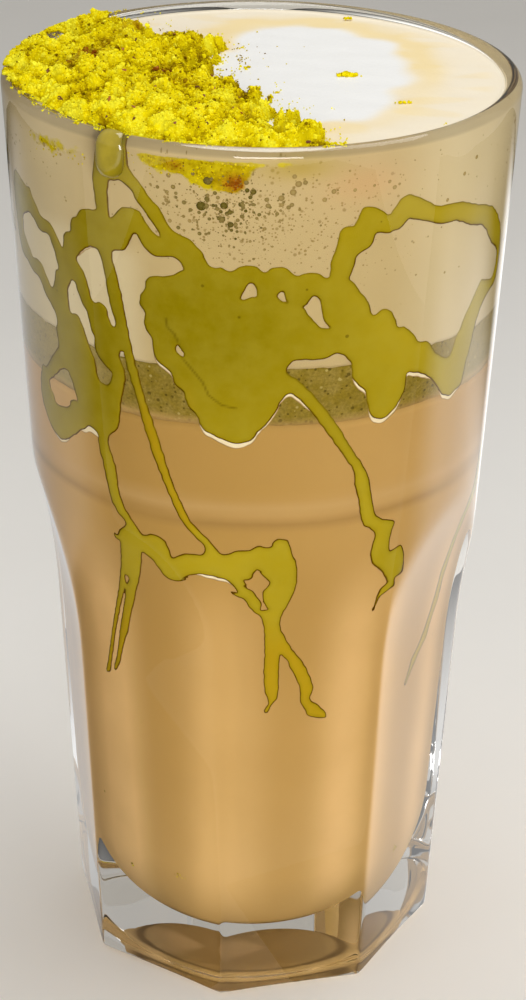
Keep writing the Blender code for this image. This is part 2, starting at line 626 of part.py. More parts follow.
def build_sauce():
    """The sauce as one thin sheet with holes, wrapped on the inside of the wall."""
    reach = SAUCE_MAP_RADIUS * SAUCE_MAP_SEAM
    across = np.arange(-reach, reach, SAUCE_MAP_STEP)
    up = np.arange(SAUCE_LOWEST, FOAM_LEVEL + 4 * MM, SAUCE_MAP_STEP)
    angles = across / SAUCE_MAP_RADIUS
    sauce = stroke_field(SAUCE_STROKES, angles, up)
    holes = stroke_field(SAUCE_HOLES, angles, up)
    top_edge = np.broadcast_to((FOAM_LEVEL - 0.3 * MM - up)[:, None], sauce.shape)
    field = np.minimum(np.minimum(sauce, -holes), top_edge)
    loops = contour_loops(field, across, up)
    largest = max(loops, key=lambda loop: abs(loop_area(loop)))
    sign = math.copysign(1, loop_area(largest))
    loops = [largest] + [loop for loop in loops if loop_area(loop) * sign < -0.25 * MM**2]
    loops = [split_round(simplified_loop(loop, OUTLINE_TOLERANCE), SAUCE_INNER_SPACING)
             for loop in loops]
    grid = hex_points((-reach, SAUCE_LOWEST), (reach, FOAM_LEVEL), SAUCE_INNER_SPACING)
    inner = points_clear_of_outline(grid, loops, 1.3 * MM)
    flat, triangles = fill_outline(loops, inner)

    def front(across_point, height):
        return polar(across_point / SAUCE_MAP_RADIUS, inside_radius(height) - SAUCE_GAP, height)

    def back(across_point, height):
        radius = inside_radius(height) - SAUCE_GAP - SAUCE_THICKNESS
        return polar(across_point / SAUCE_MAP_RADIUS, radius, height)

    vertices, faces = solid_between(flat, triangles, front, back)
    return add_object("pistachio_sauce", vertices, faces,
                      make_material("pistachio_sauce", (0.30, 0.26, 0.02), 0.35), sharp_angle=45)


# ---------------------------------------------------------------- crushed pistachio

def heap_floor(x, y):
    """Height of the heap's underside: just over the foam, with a ramp up over the lip."""
    lip_middle = LIP_OUTER_RADIUS - LIP_RADIUS
    over = GLASS_HEIGHT + CLEARANCE
    return float(np.interp(math.hypot(x, y), [lip_middle - 3 * MM, lip_middle - 1 * MM],
                           [FOAM_LEVEL + FOAM_CROWN + CLEARANCE, over]))


def bumps(x, y):
    """Uneven bumps of crushed nut: three crossed waves, between -1 and 1."""
    return (math.sin(1500 * x + 1.9 * math.sin(700 * y)) + math.sin(1750 * y + 2.3 * math.sin(610 * x))
            + math.sin(980 * (x + y) + 1.4)) / 3


def clump(x, y, height, radius, rng):
    """A rough ball of nut: an icosphere whose points are moved in and out."""
    mesh = bpy.data.meshes.new("clump")
    shape = bmesh.new()
    bmesh.ops.create_icosphere(shape, subdivisions=1, radius=radius)
    for vertex in shape.verts:
        vertex.co *= rng.uniform(0.82, 1.12)
        vertex.co += Vector((x, y, height))
    shape.to_mesh(mesh)
    shape.free()
    return bpy.data.objects.new("clump", mesh)


def build_heap():
    """Crushed pistachio: a bumpy core out to its uneven outline, with clumps fused on."""
    rng = random.Random(7)
    outline = []
    corners = [(x * MM, y * MM) for x, y in HEAP_OUTLINE]
    for (x0, y0), (x1, y1) in zip(corners, corners[1:] + corners[:1]):
        pieces = max(1, round(math.hypot(x1 - x0, y1 - y0) / (2.4 * MM)))
        for piece in range(pieces):
            t = piece / pieces
            outline.append((x0 + t * (x1 - x0), y0 + t * (y1 - y0)))
    dense = corners_between(np.array(outline), 0.4 * MM)
    low = np.min(dense, axis=0)
    high = np.max(dense, axis=0)
    grid = hex_points(low, high, HEAP_POINT_SPACING)
    inner = points_clear_of_outline(grid, [outline], 0.8 * MM)
    flat, triangles = fill_outline([outline], inner)

    def core_top(x, y):
        from_edge = float(np.min(np.hypot(dense[:, 0] - x, dense[:, 1] - y)))
        rise = 1 - math.exp(-from_edge / HEAP_SLOPE)
        height = HEAP_EDGE + (HEAP_HEIGHT - HEAP_EDGE) * rise
        top = FOAM_LEVEL + FOAM_CROWN + CLEARANCE + height + HEAP_BUMP * rise * bumps(x, y)
        return max(top, heap_floor(x, y) + HEAP_EDGE)

    def front(x, y):
        return (x, y, core_top(x, y))

    def back(x, y):
        return (x, y, heap_floor(x, y))

    vertices, faces = solid_between(flat, triangles, front, back)
    heap = add_object("crushed_pistachio", vertices, faces,
                      make_material("crushed_pistachio", (0.62, 0.50, 0.03), 0.8), sharp_angle=60)
    spots = [(x * MM, y * MM, radius * MM) for x, y, radius in LARGE_CLUMPS]
    candidates = [point for point in points_clear_of_outline(grid, [outline], 1.7 * MM)]
    rng.shuffle(candidates)
    for x, y in candidates:
        if len(spots) >= CLUMP_COUNT:
            break
        radius = rng.uniform(*CLUMP_RADII)
        if all(math.hypot(x - u, y - v) > radius + w + 0.5 * MM for u, v, w in spots):
            spots.append((x, y, radius))
    pieces = bpy.data.collections.new("clumps")
    bpy.context.scene.collection.children.link(pieces)
    for x, y, radius in spots:
        height = max(core_top(x, y) - 0.15 * radius, heap_floor(x, y) + 1.15 * radius)
        pieces.objects.link(clump(x, y, height, radius, rng))
    fuse(heap, pieces)
    return heap


def fuse(part, pieces):
    """Join the pieces of a collection to a part with one Boolean union, and drop them."""
    joined = part.modifiers.new("union", "BOOLEAN")
    joined.operation = "UNION"
    joined.operand_type = "COLLECTION"
    joined.collection = pieces
    joined.solver = "EXACT"
    evaluated = part.evaluated_get(bpy.context.evaluated_depsgraph_get())
    mesh = bpy.data.meshes.new_from_object(evaluated)
    part.modifiers.clear()
    part.data = mesh
    for item in list(pieces.objects):
        bpy.data.objects.remove(item, do_unlink=True)
    bpy.data.collections.remove(pieces)


# ---------------------------------------------------------------- drop over the lip

def drop_path(share):
    """The drop's back, from the top of the lip round its outside and down the wall.

    Gives the distance from the axis, the height and the outward direction there.
    """
    lip_middle = LIP_OUTER_RADIUS - LIP_RADIUS
    standoff = LIP_RADIUS + CLEARANCE
    arc = standoff * math.pi / 2
    straight = LIP_CENTRE_HEIGHT - DROP_LOWEST
    along = share * (arc + straight)
    if along < arc:
        turn = math.pi / 2 * (1 - along / arc)
        out = (math.cos(turn), math.sin(turn))
        return lip_middle + standoff * out[0], LIP_CENTRE_HEIGHT + standoff * out[1], out
    height = LIP_CENTRE_HEIGHT - (along - arc)
    return band_radius(height) + CLEARANCE, height, (1.0, 0.0)


def build_drop():
    """A hanging drop: half-round sections, thin on the lip and full near the bottom."""
    rings = []
    for station in range(DROP_STATIONS + 1):
        share = 0.03 + 0.95 * station / DROP_STATIONS
        radius, height, out = drop_path(share)
        width = DROP_HALF_WIDTH * min(1.0, 0.62 + 0.9 * share) * math.sqrt(max(0.0, 1 - share**6))
        bulge = DROP_BULGE * (0.28 + 0.72 * share**1.5) * math.sqrt(max(0.0, 1 - share**8))
        ring = []
        for point in range(DROP_SECTION_POINTS):
            turn = 2 * math.pi * point / DROP_SECTION_POINTS
            aside = width * math.cos(turn)
            lift = bulge * max(math.sin(turn), 0.0) ** 0.8
            sag = aside**2 / (2 * radius)
            angle = DROP_ANGLE + aside / radius
            ring.append(polar(angle, radius + lift * out[0] + 0.1 * sag, height + lift * out[1]))
        rings.append(ring)
    vertices, faces = loft(rings)
    return add_object("sauce_drop", vertices, faces,
                      make_material("drop_sauce", (0.34, 0.28, 0.01), 0.15), sharp_angle=60)


def main():
    """Build the drink in its glass."""
    clear_scene()
    build_glass()
    build_latte()
    build_nut_band()
    build_foam()
    build_sauce()
    build_heap()
    build_drop()


main()
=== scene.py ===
"""Pistachio latte in an eight-sided tumbler.

The clear glass, the layered drink, the sauce that clings to the inside of the wall, the
crushed pistachio on the foam and the drop over the lip are each built by an operator.
Lengths are in metres, +Z is up, and angles run round the glass from -Y towards +X.
"""
import math

import bpy
import numpy as np
from mathutils import Matrix


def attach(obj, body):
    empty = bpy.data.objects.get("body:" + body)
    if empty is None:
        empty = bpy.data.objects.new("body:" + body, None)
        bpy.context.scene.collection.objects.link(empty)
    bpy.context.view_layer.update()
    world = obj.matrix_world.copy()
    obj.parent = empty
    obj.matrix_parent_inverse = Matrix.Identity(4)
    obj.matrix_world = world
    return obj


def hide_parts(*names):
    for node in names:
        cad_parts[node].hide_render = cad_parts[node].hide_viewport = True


bl_info = {
    "name": "Pistachio latte",
    "version": (1, 0, 0),
    "blender": (4, 5, 0),
    "location": "3D View > Sidebar > Latte",
    "description": "Builds a layered pistachio latte in an eight-sided tumbler",
    "category": "Add Mesh",
}

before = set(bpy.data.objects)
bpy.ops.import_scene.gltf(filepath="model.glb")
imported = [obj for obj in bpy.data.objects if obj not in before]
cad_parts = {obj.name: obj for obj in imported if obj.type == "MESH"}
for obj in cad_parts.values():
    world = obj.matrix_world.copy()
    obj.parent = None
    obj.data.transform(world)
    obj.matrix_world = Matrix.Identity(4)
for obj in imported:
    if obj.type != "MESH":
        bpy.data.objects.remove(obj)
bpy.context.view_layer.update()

MM = 0.001
TAU = 2 * math.pi

# Glass: the lip is a half circle, and the round band under it narrows downwards
LIP_RADIUS = 1.45 * MM
LIP_OUTER_RADIUS = 41.97 * MM
LIP_CENTRE_HEIGHT = 160.55 * MM
LIP_MIDDLE_RADIUS = LIP_OUTER_RADIUS - LIP_RADIUS
BAND_TAPER = 0.0447             # radius per height
BAND_FOOT = 104 * MM            # the arches of the flat sides end below this height
# The flat sides: they lean outwards, and curve out more above the start of the scoop
SIDES = 8
SIDE_STEP = TAU / SIDES
FIRST_CORNER = math.radians(-9.3)
SIDE_MIDDLES = FIRST_CORNER + SIDE_STEP * (np.arange(SIDES) + 0.5)
COLUMNS_PER_SIDE = 34
CORNER_CROWDING = 1.7           # above 1 the columns crowd towards the corners
FOOT_SIDE_DISTANCE = 31.05 * MM
SIDE_TAPER = 0.0423             # distance per height
SCOOP_START = 63.9 * MM
SCOOP_CURVE = 4.36              # distance per square of the height above the start, per metre
# The foot: a flat ring, an edge that rises outwards from it, and a recess in the middle
FOOT_RING_RADIUS = 29.4 * MM
FOOT_CORNER_RISE = 0.9 * MM
FOOT_SIDE_RISE = 0.8 * MM
# Radius and height of the recess, from its middle outwards
RECESS_PROFILE = np.array([(6, 1.2), (14, 1.2), (20, 1.19), (23, 1.12), (24.4, 0.9), (25.2, 0.5),
                           (25.8, 0.16), (26.4, 0.02), (27.2, 0), (28.4, 0)]) * MM
# The inside: its radii at some heights, and the bowl that it ends in
INSIDE_HEIGHTS = np.array([0.0, 20.0, 45.0, 66.0, 96.5, 130.0, 160.5, 175.0]) * MM
INSIDE_RADII = np.array([22.3, 23.7, 25.3, 26.8, 31.2, 35.9, 39.1, 40.2]) * MM
INSIDE_TOP = 159.6 * MM
BOWL_FLOOR = 6.3 * MM
BOWL_ROUNDING = 17.3 * MM

# Drink: the levels of its layers, and how far it reaches into the glass, so no air shows
DRINK_ANGLES = np.linspace(0, TAU, 320, endpoint=False)
NUT_BAND_BOTTOM = 115.0 * MM
NUT_BAND_TOP = 125.0 * MM
FOAM_LEVEL = 160.6 * MM
FOAM_CROWN = 0.3 * MM
FOAM_TOP_RINGS = 90
LAYER_DISH = 0.3 * MM           # how far a layer's ends dip towards its middle
INTO_WALL = 0.10 * MM
FILM_STANDOFF = 0.13 * MM
SAUCE_STANDOFF = 0.16 * MM
SAUCE_RELIEF = 0.18 * MM        # how much thicker the sauce is away from its edges
# Sauce and milk are drawn on the wall unrolled at one radius, open at a seam at the back
SAUCE_MAP_RADIUS = 34.0 * MM
SAUCE_MAP_SEAM = math.radians(176)
SAUCE_MAP_BOTTOM = 54 * MM
FRONT_REACH = math.radians(80)
STROKE_BLEND = 0.35 * MM
ALONG_DEGREE = math.radians(1) * SAUCE_MAP_RADIUS

# Sauce on the wall at the front: its outline and the openings in it, as closed loops of
# angle and height in turn, in tenths of a degree and of a millimetre
SAUCE_LOOPS = [
    [-366, 1604, -390, 1551, -394, 1531, -390, 1499, -391, 1488, -425, 1483, -442, 1477,
     -453, 1467, -468, 1460, -476, 1451, -480, 1437, -498, 1431, -506, 1424, -515, 1402,
     -525, 1408, -534, 1418, -548, 1429, -559, 1434, -598, 1438, -613, 1450, -630, 1461,
     -642, 1474, -665, 1474, -730, 1485, -755, 1470, -765, 1430, -763, 1380, -745, 1346,
     -723, 1339, -705, 1337, -671, 1326, -643, 1324, -630, 1316, -618, 1304, -602, 1293,
     -589, 1287, -578, 1279, -572, 1270, -572, 1259, -580, 1249, -577, 1235, -577, 1223,
     -584, 1212, -602, 1201, -649, 1168, -664, 1160, -678, 1161, -693, 1148, -704, 1132,
     -713, 1110, -712, 1091, -703, 1075, -673, 1049, -638, 1039, -620, 1038, -601, 1042,
     -579, 1050, -488, 1093, -476, 1094, -465, 1092, -459, 1088, -455, 1080, -456, 1069,
     -454, 1055, -448, 1037, -433, 973, -416, 951, -387, 934, -415, 919, -429, 909, -439, 911,
     -440, 904, -431, 900, -422, 899, -437, 852, -447, 833, -469, 795, -548, 685, -597, 611,
     -613, 591, -612, 584, -591, 589, -577, 607, -531, 680, -509, 710, -466, 765, -441, 793,
     -445, 782, -460, 757, -495, 706, -536, 634, -563, 601, -554, 599, -537, 608, -518, 626,
     -501, 651, -481, 676, -456, 702, -428, 746, -408, 771, -392, 796, -373, 821, -357, 845,
     -345, 869, -338, 889, -327, 889, -296, 878, -278, 863, -265, 855, -247, 849, -225, 848,
     -195, 853, -186, 860, -201, 856, -192, 860, -170, 864, -150, 865, -105, 861, -79, 856,
     -62, 839, -77, 837, -67, 830, -53, 827, -43, 819, -33, 807, 2, 787, 12, 773, 19, 725,
     18, 660, 20, 637, 29, 615, 38, 600, 27, 592, 21, 584, 31, 580, 43, 587, 50, 597, 63, 603,
     71, 609, 75, 630, 77, 701, 102, 687, 114, 671, 131, 655, 154, 623, 158, 596, 179, 578,
     184, 569, 204, 562, 258, 555, 266, 559, 261, 568, 222, 588, 201, 596, 194, 603, 205, 618,
     203, 630, 194, 644, 162, 679, 122, 709, 106, 723, 74, 760, 72, 777, 79, 792, 92, 807,
     112, 836, 118, 857, 116, 884, 111, 902, 102, 911, 94, 930, 88, 937, 78, 940, 64, 941,
     53, 939, 46, 934, 42, 928, 28, 926, 6, 928, -19, 920, -50, 918, -64, 915, -78, 910, -89, 909,
     -101, 912, -134, 936, -172, 959, -182, 967, -191, 978, -229, 1038, -257, 1108, -288, 1177,
     -315, 1261, -340, 1376, -353, 1422, -323, 1430, -310, 1437, -297, 1455, -287, 1463,
     -282, 1461, -270, 1446, -262, 1440, -243, 1432, -231, 1431, -201, 1434, -192, 1433,
     -183, 1429, -176, 1423, -171, 1416, -181, 1412, -210, 1402, -251, 1397, -261, 1392,
     -268, 1384, -270, 1374, -280, 1365, -285, 1357, -286, 1345, -273, 1331, -276, 1324,
     -278, 1310, -265, 1295, -260, 1286, -257, 1276, -257, 1264, -251, 1254, -240, 1247,
     -217, 1237, -212, 1230, -209, 1221, -202, 1213, -191, 1208, -182, 1202, -178, 1185,
     -172, 1178, -156, 1168, -140, 1143, -130, 1137, -64, 1120, -43, 1120, -28, 1122, -17, 1126,
     -8, 1132, 1, 1141, 29, 1161, 45, 1179, 58, 1198, 65, 1205, 75, 1209, 84, 1208, 104, 1197,
     136, 1172, 253, 1063, 262, 1053, 267, 1030, 282, 1002, 295, 966, 302, 953, 311, 945,
     338, 933, 346, 927, 350, 919, 345, 899, 346, 887, 352, 874, 361, 865, 390, 849, 424, 818,
     416, 810, 414, 799, 416, 784, 411, 770, 416, 767, 422, 777, 425, 794, 434, 799, 443, 807,
     446, 821, 458, 827, 467, 836, 470, 851, 466, 867, 458, 879, 450, 885, 414, 881, 408, 886,
     406, 896, 407, 910, 409, 921, 416, 935, 408, 940, 369, 950, 351, 958, 341, 967, 318, 1014,
     312, 1032, 301, 1048, 286, 1065, 241, 1107, 213, 1138, 155, 1191, 97, 1234, 74, 1244,
     69, 1249, 71, 1257, 76, 1262, 85, 1267, 97, 1269, 143, 1267, 170, 1270, 188, 1275, 200, 1272,
     211, 1267, 221, 1260, 228, 1251, 233, 1231, 241, 1220, 268, 1203, 275, 1194, 278, 1183,
     291, 1158, 301, 1149, 316, 1144, 330, 1143, 345, 1146, 370, 1159, 386, 1178, 391, 1188,
     391, 1210, 394, 1215, 406, 1214, 441, 1205, 480, 1188, 527, 1153, 544, 1145, 563, 1140,
     578, 1141, 590, 1145, 611, 1147, 620, 1156, 628, 1190, 636, 1202, 648, 1244, 661, 1264,
     678, 1279, 710, 1292, 752, 1300, 766, 1319, 770, 1340, 760, 1369, 740, 1399, 717, 1418,
     692, 1434, 661, 1449, 624, 1460, 583, 1469, 522, 1485, 499, 1489, 438, 1493, 415, 1499,
     378, 1515, 360, 1521, 343, 1525, 330, 1524, 320, 1520, 297, 1500, 287, 1501, 268, 1511,
     255, 1515, 241, 1517, 231, 1516, 225, 1512, 210, 1489, 189, 1489, 181, 1486, 176, 1477,
     170, 1453, 161, 1434, 159, 1410, 154, 1406, 135, 1414, 123, 1417, 98, 1416, 89, 1413,
     80, 1414, 64, 1424, 55, 1428, 46, 1429, 26, 1426, 19, 1421, 10, 1420, -5, 1428, -16, 1430,
     -30, 1430, -43, 1428, -54, 1423, -66, 1420, -75, 1421, -86, 1425, -97, 1424, -109, 1426,
     -115, 1430, -122, 1438, -126, 1446, -153, 1466, -164, 1470, -178, 1473, -194, 1479,
     -205, 1487, -225, 1514, -239, 1521, -275, 1554, -291, 1565, -295, 1580, -296, 1596,
     -301, 1605],
    [-700, 1416, -652, 1429, -610, 1411, -569, 1411, -559, 1401, -550, 1386, -543, 1371,
     -542, 1361, -553, 1355, -567, 1328, -578, 1321, -588, 1325, -610, 1346, -623, 1353,
     -638, 1355, -667, 1353, -676, 1361, -707, 1383, -709, 1394],
    [-419, 1421, -407, 1421, -394, 1419, -381, 1391, -377, 1360, -367, 1321, -359, 1305,
     -362, 1296, -368, 1295, -378, 1307, -380, 1317, -385, 1325, -393, 1329, -406, 1330,
     -416, 1326, -425, 1329, -430, 1334, -432, 1344, -441, 1366, -449, 1376, -464, 1387,
     -463, 1394, -455, 1402, -447, 1408],
    [-489, 1351, -482, 1349, -476, 1342, -466, 1322, -451, 1309, -446, 1301, -438, 1274,
     -431, 1264, -432, 1243, -417, 1228, -408, 1222, -390, 1214, -384, 1210, -386, 1202,
     -390, 1196, -397, 1189, -411, 1185, -424, 1186, -431, 1194, -434, 1206, -435, 1220,
     -441, 1231, -448, 1240, -473, 1286, -483, 1292, -494, 1293, -505, 1291, -510, 1296,
     -510, 1330, -502, 1340, -495, 1347],
    [-567, 1179, -553, 1180, -545, 1179, -528, 1150, -523, 1133, -534, 1131, -552, 1125,
     -559, 1116, -575, 1109, -615, 1103, -629, 1106, -635, 1117, -646, 1126, -647, 1138,
     -630, 1148, -605, 1160, -588, 1171],
    [-349, 1254, -342, 1253, -334, 1223, -314, 1175, -301, 1132, -287, 1099, -283, 1086,
     -254, 1033, -223, 982, -215, 970, -193, 951, -166, 933, -153, 926, -145, 919, -144, 911,
     -150, 906, -162, 903, -194, 902, -208, 900, -231, 893, -239, 895, -251, 911, -259, 919,
     -271, 924, -286, 927, -304, 928, -319, 924, -332, 924, -353, 937, -375, 953, -384, 961,
     -397, 983, -400, 996, -401, 1026, -404, 1040, -409, 1054, -417, 1068, -418, 1080, -413, 1090,
     -382, 1110, -373, 1123, -362, 1163, -347, 1193, -342, 1208, -343, 1220, -353, 1240,
     -354, 1246],
    [-347, 1540, -343, 1542, -332, 1542, -319, 1545, -299, 1537, -289, 1531, -283, 1522,
     -253, 1495, -232, 1476, -226, 1465, -242, 1471, -266, 1494, -272, 1501, -282, 1503,
     -294, 1504, -307, 1503, -321, 1500, -341, 1485, -350, 1481, -353, 1482, -354, 1508,
     -352, 1524],
    [209, 1403, 218, 1423, 219, 1434, 223, 1438, 232, 1443, 244, 1446, 253, 1451, 260, 1458,
     267, 1471, 299, 1467, 309, 1470, 325, 1471, 347, 1484, 361, 1482, 384, 1477, 435, 1464,
     461, 1460, 482, 1459, 504, 1456, 559, 1439, 606, 1429, 629, 1420, 650, 1406, 668, 1392,
     693, 1378, 731, 1360, 739, 1346, 740, 1332, 734, 1321, 720, 1313, 676, 1321, 650, 1327,
     628, 1312, 589, 1280, 579, 1270, 572, 1258, 560, 1249, 553, 1239, 544, 1221, 537, 1217,
     520, 1220, 482, 1236, 468, 1246, 457, 1256, 440, 1263, 415, 1267, 408, 1275, 397, 1284,
     367, 1300, 354, 1302, 345, 1306, 332, 1325, 324, 1333, 309, 1339, 295, 1340, 281, 1333,
     274, 1334, 268, 1340, 264, 1349, 256, 1360, 215, 1396],
    [-41, 1375, -25, 1398, -20, 1401, -12, 1399, -7, 1393, -5, 1386, -6, 1379, -18, 1378,
     -30, 1374, -36, 1373],
    [42, 1379, 47, 1384, 53, 1387, 60, 1374, 64, 1368, 57, 1369, 48, 1373],
    [101, 1360, 110, 1364, 121, 1375, 127, 1377, 136, 1373, 141, 1367, 149, 1339, 155, 1330,
     167, 1321, 154, 1321, 141, 1325],
    [-197, 1282, -193, 1285, -187, 1280, -181, 1273, -181, 1267, -187, 1267, -193, 1272,
     -197, 1278],
    [-39, 861, -27, 864, -16, 870, -9, 878, 0, 884, 7, 881, 0, 883, 11, 874, 23, 867, 31, 860,
     13, 845, 8, 837, 10, 826, 14, 817, 21, 808, 28, 803, 15, 802, 4, 803, 8, 811, 4, 818,
     -5, 829, -15, 838, -27, 846, -40, 852, -30, 850],
    [-426, 826, -417, 824, -417, 817, -427, 808, -431, 815],
]
SAUCE_OUTLINES = [np.array(loop).reshape(-1, 2) / 10 for loop in SAUCE_LOOPS]
# Sauce round the back: (angle in degrees, height, half width in mm) along strokes
SAUCE_STROKES = [
    [(90, 104, 1.3), (87, 88, 1.2), (79.6, 75.6, 1.25), (78, 69.4, 1.25), (71.8, 63.3, 1.1),
     (63.7, 60, 0.85), (58.6, 56.3, 0.4)],
    [(75.5, 136.5, 1.6), (86, 139, 2.4), (99, 137, 4.0), (112, 133, 7.0)],
    [(104, 127, 4.5), (116, 131, 7.5), (132, 130, 7.0), (147, 133, 4.5), (160, 139, 2.0),
     (166, 147, 1.4)],
    [(104, 127, 4.0), (96, 116, 2.2), (90, 104, 1.3)],
    [(126, 124, 4.5), (129, 113, 3.0), (133, 101, 1.2), (139, 89, 1.1), (141, 75, 0.9)],
    [(-74.5, 146.8, 1.0), (-84, 150, 1.6), (-99, 149, 2.6), (-116, 142, 6.0)],
    [(-74.5, 136.8, 1.2), (-86, 138.5, 1.4), (-101, 139, 3.5)],
    [(-106, 137, 5.0), (-119, 134, 7.5), (-136, 131, 6.0), (-150, 135, 3.2), (-160, 141, 1.5)],
    [(-124, 127, 5.0), (-127, 117, 3.6), (-124, 105, 1.2), (-117, 92, 1.1), (-114, 79, 0.8)],
    [(-143, 128, 3.0), (-150, 114, 1.3), (-158, 101, 1.1), (-161, 88, 1.8), (-153, 84, 1.6)],
]
SAUCE_HOLES = [[(120, 133, 1.2)], [(-126, 134, 1.5), (-122, 132, 1.0)]]
# A fine crease in the sauce, drawn as a line of painted shade: angle in degrees, height in mm
SAUCE_CREASE = np.array([(-22.0, 132.9), (-21.6, 131.4), (-19.9, 130.4), (-18.8, 128.4),
                         (-18.2, 126.4), (-15.1, 124.0), (-13.4, 122.6), (-12.0, 120.4),
                         (-8.8, 118.8), (-5.3, 118.4)])
# Milk and painted highlight under the sauce's edges: (angle in degrees, height, reach and drop in
# mm)
FILM_SPOTS = [(-10.7, 112.9, 3.4, 0.75), (-6.4, 112, 3.2, 0.95), (-1.5, 112.5, 2.6, 0.7),
              (3.6, 116.7, 2.8, 0.5), (9.6, 119.8, 2.6, 0.6), (25.8, 120.7, 2.2, 0.65),
              (31.3, 114.2, 2.6, 0.85), (35.9, 115.2, 2.4, 0.7), (42.7, 120.7, 3.0, 0.7),
              (55.9, 113.9, 2.8, 0.7), (-48.1, 108.8, 2.2, 1.1), (-61.7, 103.8, 2.4, 0.5),
              (-23.5, 124.4, 3.0, 0.55), (-11.7, 86.2, 2.8, 0.6), (-43.7, 141.2, 2.0, 0.3),
              (110, 122, 5.0, 0.8), (-125, 122, 5.0, 0.8)]

# Crushed pistachio: its outline on the foam, bare gaps in it (x, y, radius), all in mm
HEAP_OUTLINE = np.array([
    (-33.2, -19.2), (-29.5, -24.6), (-23.6, -30.2), (-17, -34.4), (-10, -37), (-3, -38.2),
    (3.2, -38.2), (9.2, -37.1), (9.6, -34.2), (6.4, -32.4), (3.2, -34.6), (0.6, -32.2),
    (2.6, -27.6), (-0.4, -25.2), (-0.5, -19.2), (-2, -15.7), (-3.4, -11.6), (-6.4, -9),
    (-9.4, -3.8), (-11.6, -0.5), (-9.3, 6.4), (-8.3, 12.2), (-11.2, 15.4), (-15.4, 14.6),
    (-18, 12.6), (-19.4, 15.8), (-22.2, 18.6), (-24.6, 23.4), (-25.6, 28.2), (-28, 31.3),
    (-34.6, 23.9), (-39.2, 14.2), (-41.6, 3.8), (-40.6, -4.6), (-39.3, -9.8), (-37.2, -13.6),
    (-34.6, -16),
]) * MM
HEAP_GAPS = np.array([(-34.2, 17.2, 2.2), (-30.8, 18.6, 1.0), (-36.8, -3.6, 1.3)]) * MM
HEAP_HEIGHT = 3.3 * MM
HEAP_EDGE = 0.5 * MM            # its height at its edge
HEAP_SLOPE = 3.2 * MM           # how far in from its edge it gains most of its height
HEAP_REACH = 41.7 * MM          # how far from the axis crumbs may lie
HEAP_TOP = 166.2 * MM           # no crumb reaches above this
HEAP_LIMIT = 165.9 * MM         # the heap's highest point
HEAP_THIN = (-34.0 * MM, 13.0 * MM, 5.5 * MM)    # x, y and reach of a thin place
# Balls of nut in the heap: x, y and radius
HEAP_BALLS = np.array([(-21.4, 12.8, 2.2), (7.0, -34.9, 1.7)]) * MM
# Browned places in the heap: x, y and reach in mm, strength
TOASTED = [(-27.0 * MM, -3.0 * MM, 2.4 * MM, 0.9), (-31.5 * MM, -5.5 * MM, 1.8 * MM, 0.6),
           (-21.4 * MM, 12.8 * MM, 2.4 * MM, 0.4), (-14.5 * MM, -9.0 * MM, 1.5 * MM, 0.85),
           (-12.0 * MM, -16.0 * MM, 2.0 * MM, 0.3), (-3.0 * MM, -29.0 * MM, 1.8 * MM, 0.35),
           (-20.0 * MM, -22.0 * MM, 1.6 * MM, 0.25), (-24.0 * MM, 5.0 * MM, 2.6 * MM, 0.3)]
# The largest bit of skin: its centre and radius
LARGE_SKIN_BIT = (-16.6 * MM, -10.3 * MM, 164.6 * MM), 0.8 * MM
ROUGH_SHAPES = 24               # how many shapes the crumbs of a piece share
# Stray crumbs on the foam: x, y, spread across and along and size in mm, count
STRAY_CRUMBS = [(14.1, -0.5, 0.95, 0.34, 0.46, 90), (21.8, -14.5, 0.55, 0.14, 0.28, 22),
                (2.3, -10.2, 0.3, 0.16, 0.26, 6), (-0.9, -8.3, 0.4, 0.3, 0.32, 8),
                (-2.7, 2.6, 0.4, 0.4, 0.34, 7), (10.1, -38.4, 0.5, 0.3, 0.34, 8),
                (-8.0, 11.0, 0.4, 0.3, 0.4, 7), (14.9, 33.4, 0.55, 0.2, 0.34, 12),
                (27.6, -26.0, 0.3, 0.2, 0.2, 2)]
# Crumbs pressed against the wall: angle in degrees, height in mm, spread of each, count
SUNK_CRUMBS = [(-24, 158.3, 1.5, 0.7, 60), (-18, 158.2, 1.9, 0.8, 90),
               (-12, 157.5, 2.1, 1.0, 90), (-5.4, 156.1, 1.2, 0.6, 60),
               (-6.5, 157.9, 1.8, 0.9, 80), (-2.5, 158.9, 1.2, 0.4, 20),
               (-29, 158.9, 1.1, 0.6, 20), (-44, 156.4, 2.0, 0.5, 14),
               (-52, 156.2, 3.4, 0.9, 60), (-60, 157.4, 1.6, 0.4, 10),
               (-26.8, 20.2, 1.0, 0.35, 9), (-54.5, 18.0, 0.7, 0.2, 4), (64, 18.5, 0.8, 0.5, 8)]
# A haze of nut on the foam behind most of them: an outline in degrees and mm
NUT_HAZE = np.array([(-27.5, 160.6), (-26.5, 158.6), (-24.2, 157.7), (-20.0, 157.4),
                     (-17.8, 157.1), (-15.2, 156.2), (-12.3, 155.5), (-9.7, 155.2),
                     (-7.0, 154.8), (-4.6, 155.1), (-3.0, 156.6), (-2.0, 158.3),
                     (-0.2, 159.5), (5.5, 159.3), (9.0, 160.0), (9.0, 160.6)])
# The milk poured on the foam: its outline in mm
MILK_PATCH = np.array([(-4, 19.5), (-3, 24.7), (0, 27.4), (7.2, 28.4), (12.5, 26.8),
                       (17.7, 23.1), (21, 18.2), (22.8, 11), (23.7, 2.7), (22.7, -4.1),
                       (20.8, -9.8), (18.8, -17.3), (15.4, -21.7), (10.9, -23.9), (9.3, -25.5),
                       (5.8, -28.7), (-2, -31), (-9, -20), (-16, -6), (-14, 6), (-6.8, 10.5),
                       (-3.6, 12.1)]) * MM
